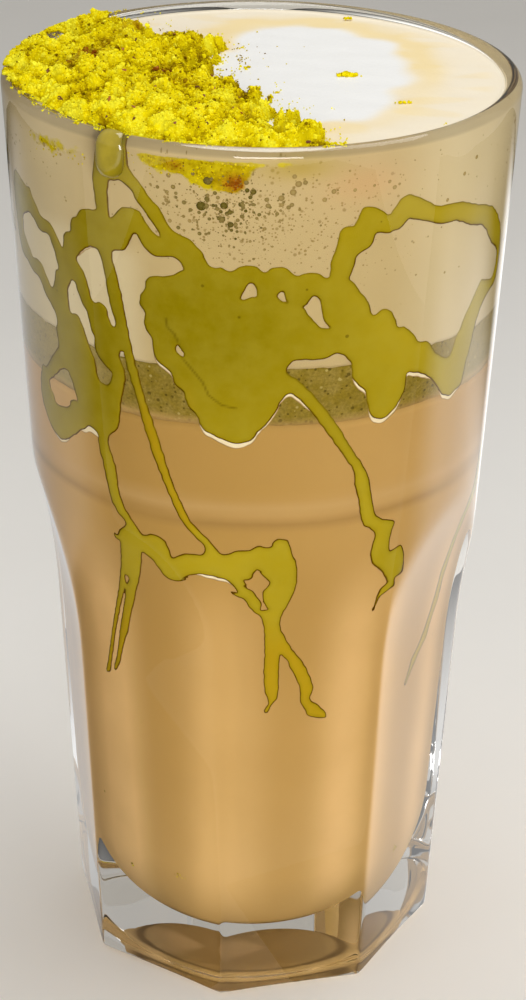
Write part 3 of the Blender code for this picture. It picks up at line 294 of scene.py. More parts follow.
# Placed bubbles at the wall: angle in degrees, height and radius in mm, paleness
BUBBLES = [(-11.3, 156.4, 0.70, 0.1), (-12.8, 152.3, 0.80, 0.0), (-7.8, 152.6, 0.62, 0.0),
           (-2.8, 155.2, 0.37, 0.0), (-1.5, 155.0, 0.5, 0.1), (-6.5, 151.6, 0.42, 0.1),
           (-6.4, 149.6, 0.5, 0.1), (-8.2, 150.4, 0.5, 0.35), (-8.5, 151.6, 0.3, 0.1),
           (-4.2, 152.9, 0.37, 0.1), (-11.5, 153.5, 0.42, 0.2), (-15.2, 151.5, 0.33, 0.4),
           (-16.6, 152.6, 0.37, 0.4), (4.5, 154.0, 0.5, 0.7), (7.0, 154.9, 0.53, 0.75),
           (8.1, 156.2, 0.53, 0.8), (7.2, 157.4, 0.37, 0.8), (1.7, 152.8, 0.42, 0.65),
           (6.8, 152.9, 0.37, 0.7), (15.9, 154.7, 0.42, 0.8), (-3.1, 151.9, 0.27, 0.0),
           (-18.1, 148.4, 0.33, 0.3), (-13.3, 147.8, 0.33, 0.3), (-6.2, 148.7, 0.27, 0.1)]
BUBBLE_LEVELS = (127 * MM, 158.8 * MM)
SUNK_TOP = 159.2 * MM           # no crumb at the wall lies higher
# Drop over the lip: its place, where it ends, its half width and how far it stands out
DROP_ANGLE = math.radians(-32.3)
DROP_END = 155.4 * MM
DROP_HALF_WIDTH = 2.55 * MM
DROP_BULGE = 1.9 * MM

# Where the camera stands, and how it is turned
CAMERA_PLACE = (0.0, -364.53 * MM, 270.39 * MM)
CAMERA_PITCH = math.radians(27.132)
CAMERA_YAW = math.radians(0.1806)
CAMERA_ROLL = math.radians(0.8053)
CAMERA_LENS_MM = 83.498


def tone(red, green, blue):
    """Linear colour of a screen colour whose parts run from 0 to 255."""
    parts = np.array([red, green, blue]) / 255
    linear = np.where(parts <= 0.04045, parts / 12.92, ((parts + 0.055) / 1.055) ** 2.4)
    return tuple(float(part) for part in linear)


# ------------------------------------------------------------------ settings

def number(label, note, default, low=0.0):
    """A plain number."""
    return bpy.props.FloatProperty(name=label, description=note, default=default, min=low)


def amount(label, note, default, low, high):
    """A number of pieces."""
    return bpy.props.IntProperty(name=label, description=note, default=default, min=low, max=high)


def length(label, note, default, low):
    """A length property in metres."""
    return bpy.props.FloatProperty(name=label, description=note, default=default, min=low,
                                   subtype="DISTANCE", unit="LENGTH", precision=5)


def share(label, note, default):
    """A property between 0 and 1."""
    return bpy.props.FloatProperty(name=label, description=note, default=default, min=0.0,
                                   max=1.0, subtype="FACTOR")


def colour(label, note, default):
    """A colour property, linear."""
    return bpy.props.FloatVectorProperty(name=label, description=note, default=default, size=3,
                                         min=0.0, max=1.0, subtype="COLOR")


def power(label, note, default):
    """A light's power in watts."""
    return bpy.props.FloatProperty(name=label, description=note, default=default, min=0.0,
                                   subtype="POWER", unit="POWER")


class TumblerSettings(bpy.types.PropertyGroup):
    """Glass of the tumbler."""
    corner_power: number("Corner sharpness", "How sharp the corners between flat sides are",
                         170.0, 20.0)
    arch_power: number("Arch sharpness", "How sharply the flat sides end under the round band",
                       120.0, 10.0)
    tint: colour("Tint", "Colour of the glass", (0.995, 0.985, 0.955))
    # Painted shade: darkens the lip to a grey band, strongest at the front.
    lip_shade_tint: colour("Lip tint", "Colour of the thick lip", (0.50, 0.50, 0.51))
    roughness: share("Roughness", "Roughness of the glass", 0.0)


class DrinkSettings(bpy.types.PropertyGroup):
    """Latte, nut band and foam."""
    latte: colour("Latte", "Colour of the coffee with milk", tone(184, 145, 79))
    latte_lit: colour("Lit latte", "Colour where the corners of the glass gather light",
                      tone(242, 199, 135))
    nuts: colour("Nut band", "Colour of the ground nuts", tone(146, 124, 40))
    nut_specks: colour("Nut specks", "Colour of the darker bits of nut", tone(96, 82, 28))
    foam: colour("Foam", "Colour of the foam behind the wall", tone(196, 172, 122))
    # Painted shade inside the bubbles at the wall.
    bubble: colour("Bubbles", "Colour of the deepest bubbles", tone(58, 48, 8))
    milk: colour("Milk", "Colour of the milk poured on top", tone(244, 244, 242))
    cream: colour("Cream", "Colour of the top foam near the glass", tone(247, 236, 213))
    caramel: colour("Caramel", "Colour of the coffee ring round the milk", tone(248, 226, 172))


class SauceSettings(bpy.types.PropertyGroup):
    """Pistachio sauce."""
    sauce: colour("Sauce", "Colour of the sauce", tone(184, 162, 34))
    # Painted shade where the sauce's light attribute is low; also the drop's darker mottling.
    deep: colour("Thick sauce", "Colour where the sauce lies thicker", tone(141, 124, 7))
    # Painted shade along the sauce's edges.
    edge: colour("Edge", "Colour of the thin dark edge", tone(92, 58, 0))
    # Partly a painted highlight under the sauce's lower edges.
    film: colour("Milk film", "Colour of the milk caught under the lobes", tone(250, 236, 200))
    front_grid: length("Front grid", "Spacing of the sauce's points at the front",
                       0.30 * MM, 0.1 * MM)
    back_grid: length("Back grid", "Spacing of the sauce's points at the back",
                      0.45 * MM, 0.1 * MM)


class NutSettings(bpy.types.PropertyGroup):
    """Crushed pistachio."""
    # Bright is partly painted light on the lit crumbs; olive is partly painted shade in creases.
    bright: colour("Bright nut", "Colour of the freshest crumbs", tone(250, 234, 12))
    nut: colour("Nut", "Colour of most crumbs", tone(224, 204, 4))
    olive: colour("Olive nut", "Colour of the darker crumbs", tone(152, 118, 0))
    skin: colour("Skin", "Colour of bits of skin", tone(120, 70, 20))
    dust_count: amount("Nut dust", "Number of the smallest crumbs", 24000, 100, 24900)
    fine_count: amount("Fine crumbs", "Number of fine crumbs", 9600, 100, 9900)
    coarse_count: amount("Coarse crumbs", "Number of coarse crumbs", 700, 10, 9900)


class StageSettings(bpy.types.PropertyGroup):
    """Floor, lights and camera."""
    floor: colour("Floor", "Colour of the floor in reflections", tone(196, 194, 190))
    sky: number("Surroundings", "Strength of the soft light all round", 0.45)
    top: power("Top light", "Power of the soft light above", 0.76)
    front: power("Front light", "Power of the soft light beside the camera", 5.0)
    left_card: number("Left card", "Brightness of the card on the floor at the left", 0.65)
    right_card: number("Right card", "Brightness of the card on the floor at the right", 1.5)


# ------------------------------------------------------------------ shapes

def smooth_step(low, high, value):
    """0 below low, 1 above high, and the cubic 3t2-2t3 between."""
    t = np.clip((value - low) / (high - low), 0, 1)
    return t * t * (3 - 2 * t)


def bell(*terms):
    """Bell curve: exp of minus the sum of ((value - middle) / width) squared."""
    total = 0
    for value, middle, width in terms:
        total = total + ((value - middle) / width) ** 2
    return np.exp(-total)


def degrees_round(points):
    """Angle of points round the glass, in degrees."""
    return np.degrees(np.arctan2(points[:, 0], -points[:, 1]))


def waves(x, y, wavelength, seed, count=16):
    """Uneven waves: a sum of plane sine waves of about one length in seeded directions."""
    rng = np.random.default_rng(seed)
    total = np.zeros(np.broadcast(x, y).shape)
    for _ in range(count):
        direction, phase = rng.uniform(0, TAU, 2)
        rate = TAU / (wavelength * rng.uniform(0.7, 1.5))
        total += np.sin(rate * (x * math.cos(direction) + y * math.sin(direction)) + phase)
    return total / math.sqrt(count / 2)


def polar(angle, radius, height):
    """Points from their angle round the glass, distance from the axis and height."""
    angle, radius, height = np.broadcast_arrays(angle, radius, height)
    return np.stack([radius * np.sin(angle), -radius * np.cos(angle), height], axis=-1)


def inside_radius(height):
    """Inside radius of the wall: cubic curves between given radii, with matched slopes."""
    slopes = np.gradient(INSIDE_RADII, INSIDE_HEIGHTS)
    last = len(INSIDE_HEIGHTS) - 2
    i = np.clip(np.searchsorted(INSIDE_HEIGHTS, height) - 1, 0, last)
    span = INSIDE_HEIGHTS[i + 1] - INSIDE_HEIGHTS[i]
    t = (height - INSIDE_HEIGHTS[i]) / span
    ease = 3 * t**2 - 2 * t**3
    return ((1 - ease) * INSIDE_RADII[i] + ease * INSIDE_RADII[i + 1]
            + span * ((t**3 - 2 * t**2 + t) * slopes[i] + (t**3 - t**2) * slopes[i + 1]))


def outside_radius(angle, height, corner_power, arch_power):
    """Outside radius of the glass.

    The flat sides are joined by the power mean of their distances, which rounds the
    corners. The round band, a cone that narrows downwards, is joined to them in the same
    way with a lower power.
    """
    rise = np.clip(height - SCOOP_START, 0, None)
    distance = FOOT_SIDE_DISTANCE + SIDE_TAPER * height + SCOOP_CURVE * rise**2
    facing = np.clip(np.cos(np.asarray(angle)[..., None] - SIDE_MIDDLES), 0, None)
    octagon = distance / np.sum(facing**corner_power, axis=-1) ** (1 / corner_power)
    band = LIP_OUTER_RADIUS - BAND_TAPER * (LIP_CENTRE_HEIGHT - height)
    return band * (1 + (band / octagon) ** arch_power) ** (-1 / arch_power)


def side_angles():
    """Angles of the glass's columns of points, closest together at the corners."""
    u = np.linspace(-1, 1, COLUMNS_PER_SIDE, endpoint=False)
    from_middle = np.sign(u) * (1 - (1 - np.abs(u)) ** CORNER_CROWDING) * SIDE_STEP / 2
    return (SIDE_MIDDLES[:, None] + from_middle[None, :]).ravel()


def bowl_profile(outset, steps):
    """Radius and height from the middle of the bowl out and up a quarter circle."""
    flat = float(inside_radius(BOWL_FLOOR + BOWL_ROUNDING)) - BOWL_ROUNDING
    reach = BOWL_ROUNDING + outset
    turn = np.linspace(0, math.pi / 2, steps)
    radius = np.concatenate([flat * np.array([0.35, 0.7]), flat + reach * np.sin(turn)])
    height = np.concatenate([[BOWL_FLOOR - outset] * 2,
                             BOWL_FLOOR + BOWL_ROUNDING - reach * np.cos(turn)])
    return radius, height


def grid_quads(index):
    """Four-sided faces between the neighbours of a grid of point numbers."""
    return np.stack([index[:-1, :-1], index[:-1, 1:], index[1:, 1:], index[1:, :-1]], axis=-1)


def closed_loft(rings):
    """Points and faces of a stack of rings, closed by a pole at each end."""
    rows, columns = rings.shape[:2]
    points = np.concatenate([rings.reshape(-1, 3), rings[:1].mean(axis=1),
                             rings[-1:].mean(axis=1)])
    index = np.arange(rows * columns).reshape(rows, columns)
    following = np.roll(index, -1, axis=1)
    quads = np.stack([index[:-1], following[:-1], following[1:], index[1:]], axis=-1)
    first = np.stack([np.full(columns, rows * columns), following[0], index[0]], axis=-1)
    last = np.stack([np.full(columns, rows * columns + 1), index[-1], following[-1]], axis=-1)
    return points, [quads.reshape(-1, 4), first, last]


def put_mesh(name, points, face_sets, material, smooth=True, values=None):
    """A mesh object from arrays, with numbers kept at its points as attributes."""
    mesh = bpy.data.meshes.new(name)
    mesh.vertices.add(len(points))
    mesh.vertices.foreach_set("co", np.ascontiguousarray(points, dtype=np.float32).ravel())
    corners = np.concatenate([faces.ravel() for faces in face_sets])
    sizes = np.concatenate([np.full(len(faces), faces.shape[1]) for faces in face_sets])
    mesh.loops.add(len(corners))
    mesh.loops.foreach_set("vertex_index", corners.astype(np.int32))
    mesh.polygons.add(len(sizes))
    starts = np.concatenate([[0], np.cumsum(sizes)[:-1]])
    mesh.polygons.foreach_set("loop_start", starts.astype(np.int32))
    for label, numbers in (values or {}).items():
        layer = mesh.attributes.new(label, "FLOAT", "POINT")
        layer.data.foreach_set("value", np.asarray(numbers, dtype=np.float32))
    mesh.update(calc_edges=True)
    mesh.validate()
    if smooth:
        mesh.shade_smooth()
    else:
        mesh.shade_flat()
    mesh.materials.append(material)
    piece = bpy.data.objects.new(name, mesh)
    bpy.context.scene.collection.objects.link(piece)
    return piece


def dress(piece, slot, *nodes):
    """Make a piece ride on the glass and stand for CAD nodes; the slot is not used."""
    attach(piece, "root")
    if nodes:
        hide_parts(*nodes)


# ------------------------------------------------------------------ materials

class Shader:
    """Short calls for building one node tree."""

    def __init__(self, tree):
        self.tree = tree

    def feed(self, socket, value):
        """Link a node's input to a socket, or set its number or colour."""
        if isinstance(value, bpy.types.NodeSocket):
            self.tree.links.new(value, socket)
        elif socket.type == "RGBA":
            socket.default_value = (*value, 1.0)
        else:
            socket.default_value = value

    def add(self, kind, *sources, **settings):
        """A node: settings with capitals are sockets and the rest are its own fields.

        The sources feed its first sockets in order.
        """
        node = self.tree.nodes.new("ShaderNode" + kind)
        for key, value in settings.items():
            name = key.replace("_", " ")
            if key[0].isupper() and name in node.inputs:
                self.feed(node.inputs[name], value)
            else:
                setattr(node, key, value)
        for socket, source in zip(node.inputs, sources):
            self.feed(socket, source)
        return node

    def blend(self, factor, low, high):
        """Colour mixed from low to high, each a colour or a socket."""
        node = self.add("Mix", data_type="RGBA")
        for socket, value in zip([s for s in node.inputs if s.enabled], (factor, low, high)):
            self.feed(socket, value)
        return next(s for s in node.outputs if s.enabled)

    def math(self, operation, first, second):
        """One sum on numbers or sockets, kept between 0 and 1."""
        return self.add("Math", first, second, operation=operation, use_clamp=True).outputs[0]

    def spread(self, value, low, high, bottom=0.0, top=1.0):
        """A value's range from low to high, spread to the range from bottom to top."""
        return self.add("MapRange", value, From_Min=low, From_Max=high, To_Min=bottom,
                        To_Max=top).outputs[0]


class Paint(Shader):
    """A material with a Principled shader, painted in layers on object coordinates."""

    def __init__(self, name):
        self.material = bpy.data.materials.new(name)
        self.material.use_nodes = True
        super().__init__(self.material.node_tree)
        self.principled = self.tree.nodes["Principled BSDF"]
        self.place = self.add("TexCoord").outputs["Object"]

    def value(self, label):
        """The number that the mesh keeps at its points under a label."""
        return self.add("Attribute", attribute_name=label).outputs["Fac"]

    def cloud(self, scale, contrast):
        """Mask and height of cloudy noise."""
        return self.add("Group", self.place, node_tree=mottle_group(), Scale=scale,
                        Contrast=contrast).outputs[:2]

    def mottle(self, scale, contrast):
        """Mask of cloudy noise."""
        return self.cloud(scale, contrast)[0]

    def specks(self, scale, size, share_held):
        """Mask of round specks."""
        return self.add("Group", self.place, node_tree=speck_group(), Scale=scale, Size=size,
                        Share=share_held).outputs[0]

    def layers(self, base, *layers):
        """A colour under layers, each a mask, the mask's strength and a colour."""
        for mask, strength, paint in layers:
            if strength < 1:
                mask = self.math("MULTIPLY", mask, strength)
            base = self.blend(mask, base, paint)
        return base

    def plain(self, **numbers):
        """Plain numbers on the shader's own sockets."""
        for key, value in numbers.items():
            self.principled.inputs[key.replace("_", " ")].default_value = value

    def finish(self, base, roughness, specular, coat=0.0, relief=None):
        """The shader's colour and numbers, with relief from a height socket and distance."""
        self.feed(self.principled.inputs["Base Color"], base)
        self.plain(Roughness=roughness, Specular_IOR_Level=specular, Coat_Weight=coat,
                   Coat_Roughness=0.08)
        if relief:
            bump = self.add("Bump", Height=relief[0], Distance=relief[1], Strength=1.0)
            self.tree.links.new(bump.outputs[0], self.principled.inputs["Normal"])
        return self.material

    def show_mix(self, factor, first, second):
        """Two shaders mixed on the surface."""
        mix = self.add("MixShader", factor, first.outputs[0], second.outputs[0])
        self.tree.links.new(mix.outputs[0], self.tree.nodes["Material Output"].inputs["Surface"])
        return self.material


def new_group(name, inputs, outputs):
    """An empty shader node group with its sockets, and its two end nodes."""
    group = bpy.data.node_groups.new(name, "ShaderNodeTree")
    for label, kind, default in inputs:
        socket = group.interface.new_socket(label, in_out="INPUT", socket_type=kind)
        if default is not None:
            socket.default_value = default
    for label in outputs:
        group.interface.new_socket(label, in_out="OUTPUT", socket_type="NodeSocketFloat")
    return group, group.nodes.new("NodeGroupInput"), group.nodes.new("NodeGroupOutput")


def mottle_group():
    """Soft uneven mask: cloudy noise of several sizes, spread to the range from 0 to 1."""
    found = bpy.data.node_groups.get("mottle")
    if found:
        return found
    group, start, end = new_group(
        "mottle", [("Vector", "NodeSocketVector", None), ("Scale", "NodeSocketFloat", 200.0),
                   ("Contrast", "NodeSocketFloat", 1.0)], ["Mask", "Height"])
    s = Shader(group)
    wide = s.add("TexNoise", Vector=start.outputs[0], Scale=start.outputs[1], Detail=5.0,
                 Roughness=0.55)
    mask = s.math("MULTIPLY", s.spread(wide.outputs[0], 0.34, 0.66), start.outputs[2])
    group.links.new(mask, end.inputs[0])
    group.links.new(wide.outputs[0], end.inputs[1])
    return group


def speck_group():
    """Mask of round specks: cells of a seeded size, of which a share holds a speck."""
    found = bpy.data.node_groups.get("specks")
    if found:
        return found
    group, start, end = new_group(
        "specks", [("Vector", "NodeSocketVector", None), ("Scale", "NodeSocketFloat", 800.0),
                   ("Size", "NodeSocketFloat", 0.4), ("Share", "NodeSocketFloat", 0.5)],
        ["Mask"])
    s = Shader(group)
    cells = s.add("TexVoronoi", Vector=start.outputs[0], Scale=start.outputs[1])
    lots = s.add("SeparateColor", cells.outputs["Color"])
    radius = s.math("MULTIPLY", start.outputs[2], lots.outputs[0])
    disc = s.spread(cells.outputs["Distance"], radius, s.math("MULTIPLY", radius, 0.6))
    chosen = s.math("LESS_THAN", lots.outputs[1], start.outputs[3])
    group.links.new(s.math("MULTIPLY", disc, chosen), end.inputs[0])
    return group


def glass_material(settings):
    """Clear glass that lets rays from lamps straight through to what it holds.

    The lip is darker by its attribute, a painted shade, and paler again at the back.
    """
    s = Paint("clear_tumbler_glass")
    lip = s.blend(s.value("back"), settings.lip_shade_tint, tone(232, 228, 216))
    s.feed(s.principled.inputs["Base Color"], s.blend(s.value("lip"), settings.tint, lip))
    s.plain(Roughness=settings.roughness, IOR=1.5, Transmission_Weight=1.0)
    through = s.add("BsdfTransparent", Color=(0.96, 0.97, 0.96))
    return s.show_mix(s.add("LightPath").outputs["Is Shadow Ray"], s.principled, through)


def latte_material(settings):
    """Coffee with milk: cloudy, and paler where its glow attribute says light gathers."""
    s = Paint("coffee_with_milk")
    base = s.layers(settings.latte,
                    (s.value("glow"), 1, settings.latte_lit),
                    (s.mottle(45.0, 0.22), 1, tone(184, 145, 80)),
                    # Painted shade and a painted highlight: a dark and a pale line near the
                    # arches' tops.
                    (s.value("shoulder"), 0.45, tone(144, 110, 66)),
                    (s.value("shoulder_highlight"), 0.35, tone(214, 178, 128)),
                    # Painted shade: a darker ring at the drink's lower edge, low in the bowl.
                    (s.value("under"), 1, tone(126, 94, 50)),
                    (s.specks(260.0, 0.10, 0.10), 1, tone(170, 140, 60)))
    return s.finish(base, roughness=0.6, specular=0.0)


def nut_band_material(settings):
    """Ground nuts in milk: olive with dark and pale specks of two sizes."""
    s = Paint("ground_nut_layer")
    grains, height = s.cloud(2300.0, 1.0)
    base = s.layers(settings.nuts,
                    (s.mottle(420.0, 0.6), 1, tone(170, 148, 78)),
                    (grains, 0.5, settings.nut_specks),
                    (s.specks(1500.0, 0.62, 0.42), 0.75, tone(78, 64, 20)),
                    (s.specks(1150.0, 0.5, 0.16), 0.6, tone(196, 178, 110)),
                    (s.value("haze"), 1, tone(196, 158, 98)),
                    # Painted light: the band is paler towards its left and right sides.
                    (s.value("side"), 1, tone(206, 188, 138)))
    return s.finish(base, roughness=0.6, specular=0.0, relief=(height, 0.00015))


def foam_material(settings):
    """Foam behind the wall: warm cream with soft clouds, pinhole bubbles painted as dark specks of
    shade, and nut patches.
    """
    s = Paint("foam_behind_glass")
    froth = s.value("froth")
    base = s.layers(settings.foam,
                    (s.mottle(60.0, 0.55), 1, tone(188, 163, 112)),
                    # Painted light: the foam is paler at both sides and low at the left.
                    (s.value("pale"), 1, tone(226, 210, 172)),
                    # Painted shade: pinhole bubbles as dark specks, densest where froth is high.
                    (s.specks(2100.0, 0.52, froth), 0.75, tone(138, 114, 56)),
                    (s.specks(1150.0, 0.42, froth), 0.6, tone(136, 112, 56)),
                    (s.value("blush"), 1, tone(208, 162, 112)),
                    (s.value("stain"), 1, tone(182, 156, 62)),
                    nut_haze(s))
    return s.finish(base, roughness=0.6, specular=0.0)


def nut_haze(s):
    """A layer of ragged patches of ground nut, where the crumbs attribute is high."""
    rough, fine = s.mottle(520.0, 1.0), s.mottle(1500.0, 1.0)
    height = s.math("ADD", s.math("MULTIPLY", s.value("crumbs"), 0.66),
                    s.math("MULTIPLY", rough, 0.34))
    green = s.layers(tone(196, 174, 10), (fine, 1, tone(138, 112, 0)),
                     (rough, 1, tone(206, 186, 22)))
    brown = s.blend(fine, tone(176, 96, 24), tone(104, 56, 10))
    return s.spread(height, 0.42, 0.60), 1, s.blend(s.value("toast"), green, brown)


def foam_top_material(settings):
    """Top of the foam: milk, a caramel ring and cream, with fine bubbles painted as faint specks
    of shade, and a wet sheen.
    """
    s = Paint("foam_top")
    base = s.layers(settings.cream,
                    (s.mottle(140.0, 0.35), 1, tone(248, 234, 206)),
                    (s.value("caramel"), 1, settings.caramel),
                    (s.value("milk"), 1, settings.milk),
                    # Painted shade: fine bubbles as faint darker specks.
                    (s.specks(2400.0, 0.42, 0.30), 0.10, tone(214, 190, 140)))
    _, height = s.cloud(1300.0, 1.0)
    return s.finish(base, roughness=0.42, specular=0.35, relief=(height, 0.00006))


def sauce_material(settings):
    """Olive sauce with painted light and shade, darker in the upper middle and at the upper left
    and lighter low down and at the right, a few specks, a line of painted shade along a crease
    and a thin dark line of painted shade at its edges.
    """
    s = Paint("pistachio_sauce_on_wall")
    depth = s.value("depth")
    # Painted shade: a thin dark line at the edges, strongest on lower edges.
    line = s.math("MULTIPLY", s.spread(depth, 0.30, 0.08),
                  s.spread(s.value("rim"), 0.0, 1.0, bottom=0.4))
    base = s.layers(settings.deep,
                    # Painted light and shade: lighter low down and at the right, darker upper
                    # middle and left.
                    (s.value("light"), 1, settings.sauce),
                    (s.mottle(75.0, 0.8), 0.4, tone(150, 132, 10)),
                    (s.mottle(330.0, 0.26), 1, tone(178, 162, 54)),
                    (s.value("gold"), 1, tone(190, 146, 10)),
                    (s.specks(380.0, 0.15, 0.16), 0.6, tone(84, 66, 4)),
                    # Painted shade along the crease.
                    (s.value("crease"), 1, tone(84, 66, 4)),
                    # Painted shade: the sauce darkens softly towards its edges.
                    (s.spread(depth, 0.9, 0.1, top=0.45), 1, tone(150, 132, 14)),
                    (line, 1, settings.edge))
    return s.finish(base, roughness=0.45, specular=0.0)


def film_highlight_material(settings):
    """Pale milk caught at the sauce's lower edges, partly a painted highlight, with a darker lower
    line of painted shade.
    """
    s = Paint("milk_film_highlight")
    base = s.layers(settings.film,
                    (s.mottle(380.0, 0.5), 1, tone(232, 208, 160)),
                    # Painted shade: a darker line along the film's lower edge.
                    (s.spread(s.value("depth"), 0.22, 0.05), 1, tone(178, 142, 90)))
    return s.finish(base, roughness=0.5, specular=0.0)


def bubble_material(settings):
    """Bubble at the wall: painted shade, dark round its edge and paler in the middle, tone by
    attribute.
    """
    s = Paint("foam_bubbles")
    middle = s.value("middle")
    # Painted shade: the bubble is darkest round its edge.
    dark = s.blend(s.mottle(2600.0, 0.8), settings.bubble, tone(104, 90, 30))
    light = s.blend(middle, tone(160, 132, 76), tone(190, 164, 112))
    base = s.layers(dark, (s.value("pale"), 1, light), (middle, 0.35, tone(150, 138, 70)))
    return s.finish(base, roughness=0.3, specular=0.0)


def nut_material(name, settings, gap_shade=0.0):
    """Crushed pistachio: each crumb's tint attribute picks its colour, painted light and shade
    as well as the nuts' own colours.
    """
    s = Paint(name)
    ramp = s.add("ValToRGB", s.value("tint"))
    stops = ramp.color_ramp.elements
    # The ramp's dark end is painted shade in creases, its pale end a painted highlight.
    stops[0].color = (*tone(96, 60, 0), 1.0)
    stops[1].color = (*tone(255, 250, 62), 1.0)
    for position, paint in ((0.14, settings.olive), (0.42, settings.nut), (0.72, settings.bright)):
        stops.new(position).color = (*paint, 1.0)
    grain, height = s.cloud(2400.0, 0.45)
    # Painted shade: the core seen between the crumbs is darkened towards olive.
    base = s.layers(ramp.outputs[0], (grain, 1, settings.nut), (gap_shade, 1, settings.olive),
                    (s.value("toast"), 1, tone(142, 72, 10)))
    return s.finish(base, roughness=0.8, specular=0.03, relief=(height, 0.00015))


def skin_material(settings):
    """Bits of skin and shell: brown to orange, with a little sheen."""
    s = Paint("nut_skins")
    base = s.layers(tone(74, 44, 16), (s.value("tint"), 1, tone(196, 112, 26)),
                    (s.mottle(1800.0, 0.6), 1, settings.skin))
    return s.finish(base, roughness=0.5, specular=0.4)


def drop_material(settings):
    """Drop of sauce: glossy, olive, and darker towards its sides with painted shade."""
    s = Paint("sauce_drop_gloss")
    # Painted shade: the depth attribute lightens the middle and leaves the sides dark.
    base = s.layers(tone(96, 84, 10), (s.value("depth"), 1, settings.sauce),
                    (s.mottle(500.0, 0.5), 1, settings.deep))
    return s.finish(base, roughness=0.12, specular=0.6, coat=0.6)


def card_material(name, strength):
    """A card that shines upwards by its fade attribute and can't be seen from below."""
    s = Paint(name)
    shine = s.add("Emission", s.blend(s.value("fade"), (0.0, 0.0, 0.0), (1.0, 1.0, 1.0)),
                  Strength=strength)
    below = s.add("BsdfTransparent")
    return s.show_mix(s.add("NewGeometry").outputs["Backfacing"], shine, below)


def flag_material():
    """Black card that turns clear towards its back edge."""
    s = Paint("black_card")
    s.finish(tone(10, 10, 10), roughness=1.0, specular=0.0)
    return s.show_mix(s.value("fade"), s.add("BsdfTransparent"), s.principled)


def floor_material(settings):
    """Pale matt floor with a very faint cloudiness, darker in reflections."""
    s = Paint("pale_floor")
    path = s.add("LightPath").outputs
    seen = s.math("MAXIMUM", path["Is Camera Ray"], path["Is Transmission Ray"])
    base = s.layers(settings.floor, (seen, 1, tone(250, 248, 244)),
                    (s.mottle(9.0, 0.15), 1, tone(226, 224, 220)))
    return s.finish(base, roughness=0.7, specular=0.2)


# ------------------------------------------------------------------ glass and drink

def tumbler_rings(settings):
    """Rings from the recess under the foot, up the outside, over the lip and down inside.

    The foot's edge is a quarter ellipse that rises more in the middle of a side than at a
    corner; the lip is a half circle; the inside follows the bowl and the wall curve.
    """
    angles = side_angles()
    powers = (settings.corner_power, settings.arch_power)
    rings = [polar(angles, radius, height) for radius, height in RECESS_PROFILE]
    edge = FOOT_CORNER_RISE + FOOT_SIDE_RISE * np.cos(turn_from_middle(angles)) ** 2
    reach = outside_radius(angles, edge, *powers) - FOOT_RING_RADIUS
    for turn in np.linspace(0, math.pi / 2, 10):
        rings.append(polar(angles, FOOT_RING_RADIUS + reach * math.sin(turn),
                           edge * (1 - math.cos(turn))))
    levels = np.concatenate([np.linspace(0, 0.66, 26)[1:], np.linspace(0.66, 1, 44)[1:]])
    for level in levels:
        height = edge + level * (BAND_FOOT - edge)
        rings.append(polar(angles, outside_radius(angles, height, *powers), height))
    for height in np.linspace(BAND_FOOT, LIP_CENTRE_HEIGHT, 24)[1:-1]:
        rings.append(polar(angles, outside_radius(angles, height, *powers), height))
    for turn in np.linspace(0, math.pi, 17):
        rings.append(polar(angles, LIP_MIDDLE_RADIUS + LIP_RADIUS * math.cos(turn),
                           LIP_CENTRE_HEIGHT + LIP_RADIUS * math.sin(turn)))
    for height in np.linspace(INSIDE_TOP, BOWL_FLOOR + BOWL_ROUNDING + 1 * MM, 84):
        rings.append(polar(angles, inside_radius(height), height))
    for radius, height in reversed(list(zip(*bowl_profile(0.0, 26)))):
        rings.append(polar(angles, radius, height))
    return np.stack(rings)


def turn_from_middle(angles):
    """Half a turn across each flat side: 0 at its middle and a quarter turn at a corner."""
    return math.pi * ((angles - FIRST_CORNER) % SIDE_STEP - SIDE_STEP / 2) / SIDE_STEP


def layer_wave(angle, fine):
    """Unevenness of a layer's edge round the glass, with a fine part of its own."""
    slow = 0.35 * MM * (np.sin(3 * angle + 0.7) + 0.6 * np.sin(7 * angle + 2.1))
    quick = np.sin(31 * angle + 1.1) + np.sin(53 * angle + 0.3) + np.sin(89 * angle + 2.6)
    return slow + fine * quick


def layer_rings(low, high, count):
    """Rings at the wall from a level, or an uneven edge, up to another."""
    heights = [low + level * (high - low) for level in np.linspace(0, 1, count)]
    return [polar(DRINK_ANGLES, inside_radius(height) + INTO_WALL, height) for height in heights]


def dished_ring(level, dip):
    """A ring inside the drink that dishes a layer's end by a dip."""
    return polar(DRINK_ANGLES, inside_radius(level) * 0.9, level - dip)


def layer_body(low, high, count):
    """Points and faces of one layer between two uneven edges, with dished ends."""
    return closed_loft(np.stack([dished_ring(low, -LAYER_DISH), *layer_rings(low, high, count),
                                 dished_ring(high, LAYER_DISH)]))


def side_light(angles, heights):
    """How much light gathers on the latte.

    Behind each corner the flat sides gather light, by the cube of a sine of the angle from
    the middle of a side, below the arches only and least behind the front corner. Towards
    the bottom it is lighter all round, and so are the left and right sides.
    """
    corner = np.abs(np.sin(turn_from_middle(angles))) ** 3
    below = 1 - smooth_step(72 * MM, 92 * MM, heights)
    low = np.interp(heights, np.array([8, 30, 60, 84]) * MM, [0.26, 0.20, 0.08, 0.0])
    below = below * smooth_step(9 * MM, 22 * MM, heights)
    below = below * (1 - 0.5 * bell((angles, FIRST_CORNER, math.radians(17))))
    right = 0.12 + 0.16 * smooth_step(78 * MM, 98 * MM, heights)
    right = smooth_step(-0.2, 0.9, np.sin(angles)) * right
    left = smooth_step(-0.6, -0.95, np.sin(angles))
    return np.clip(low + 0.66 * corner * below + right + 0.62 * left, 0, 1)


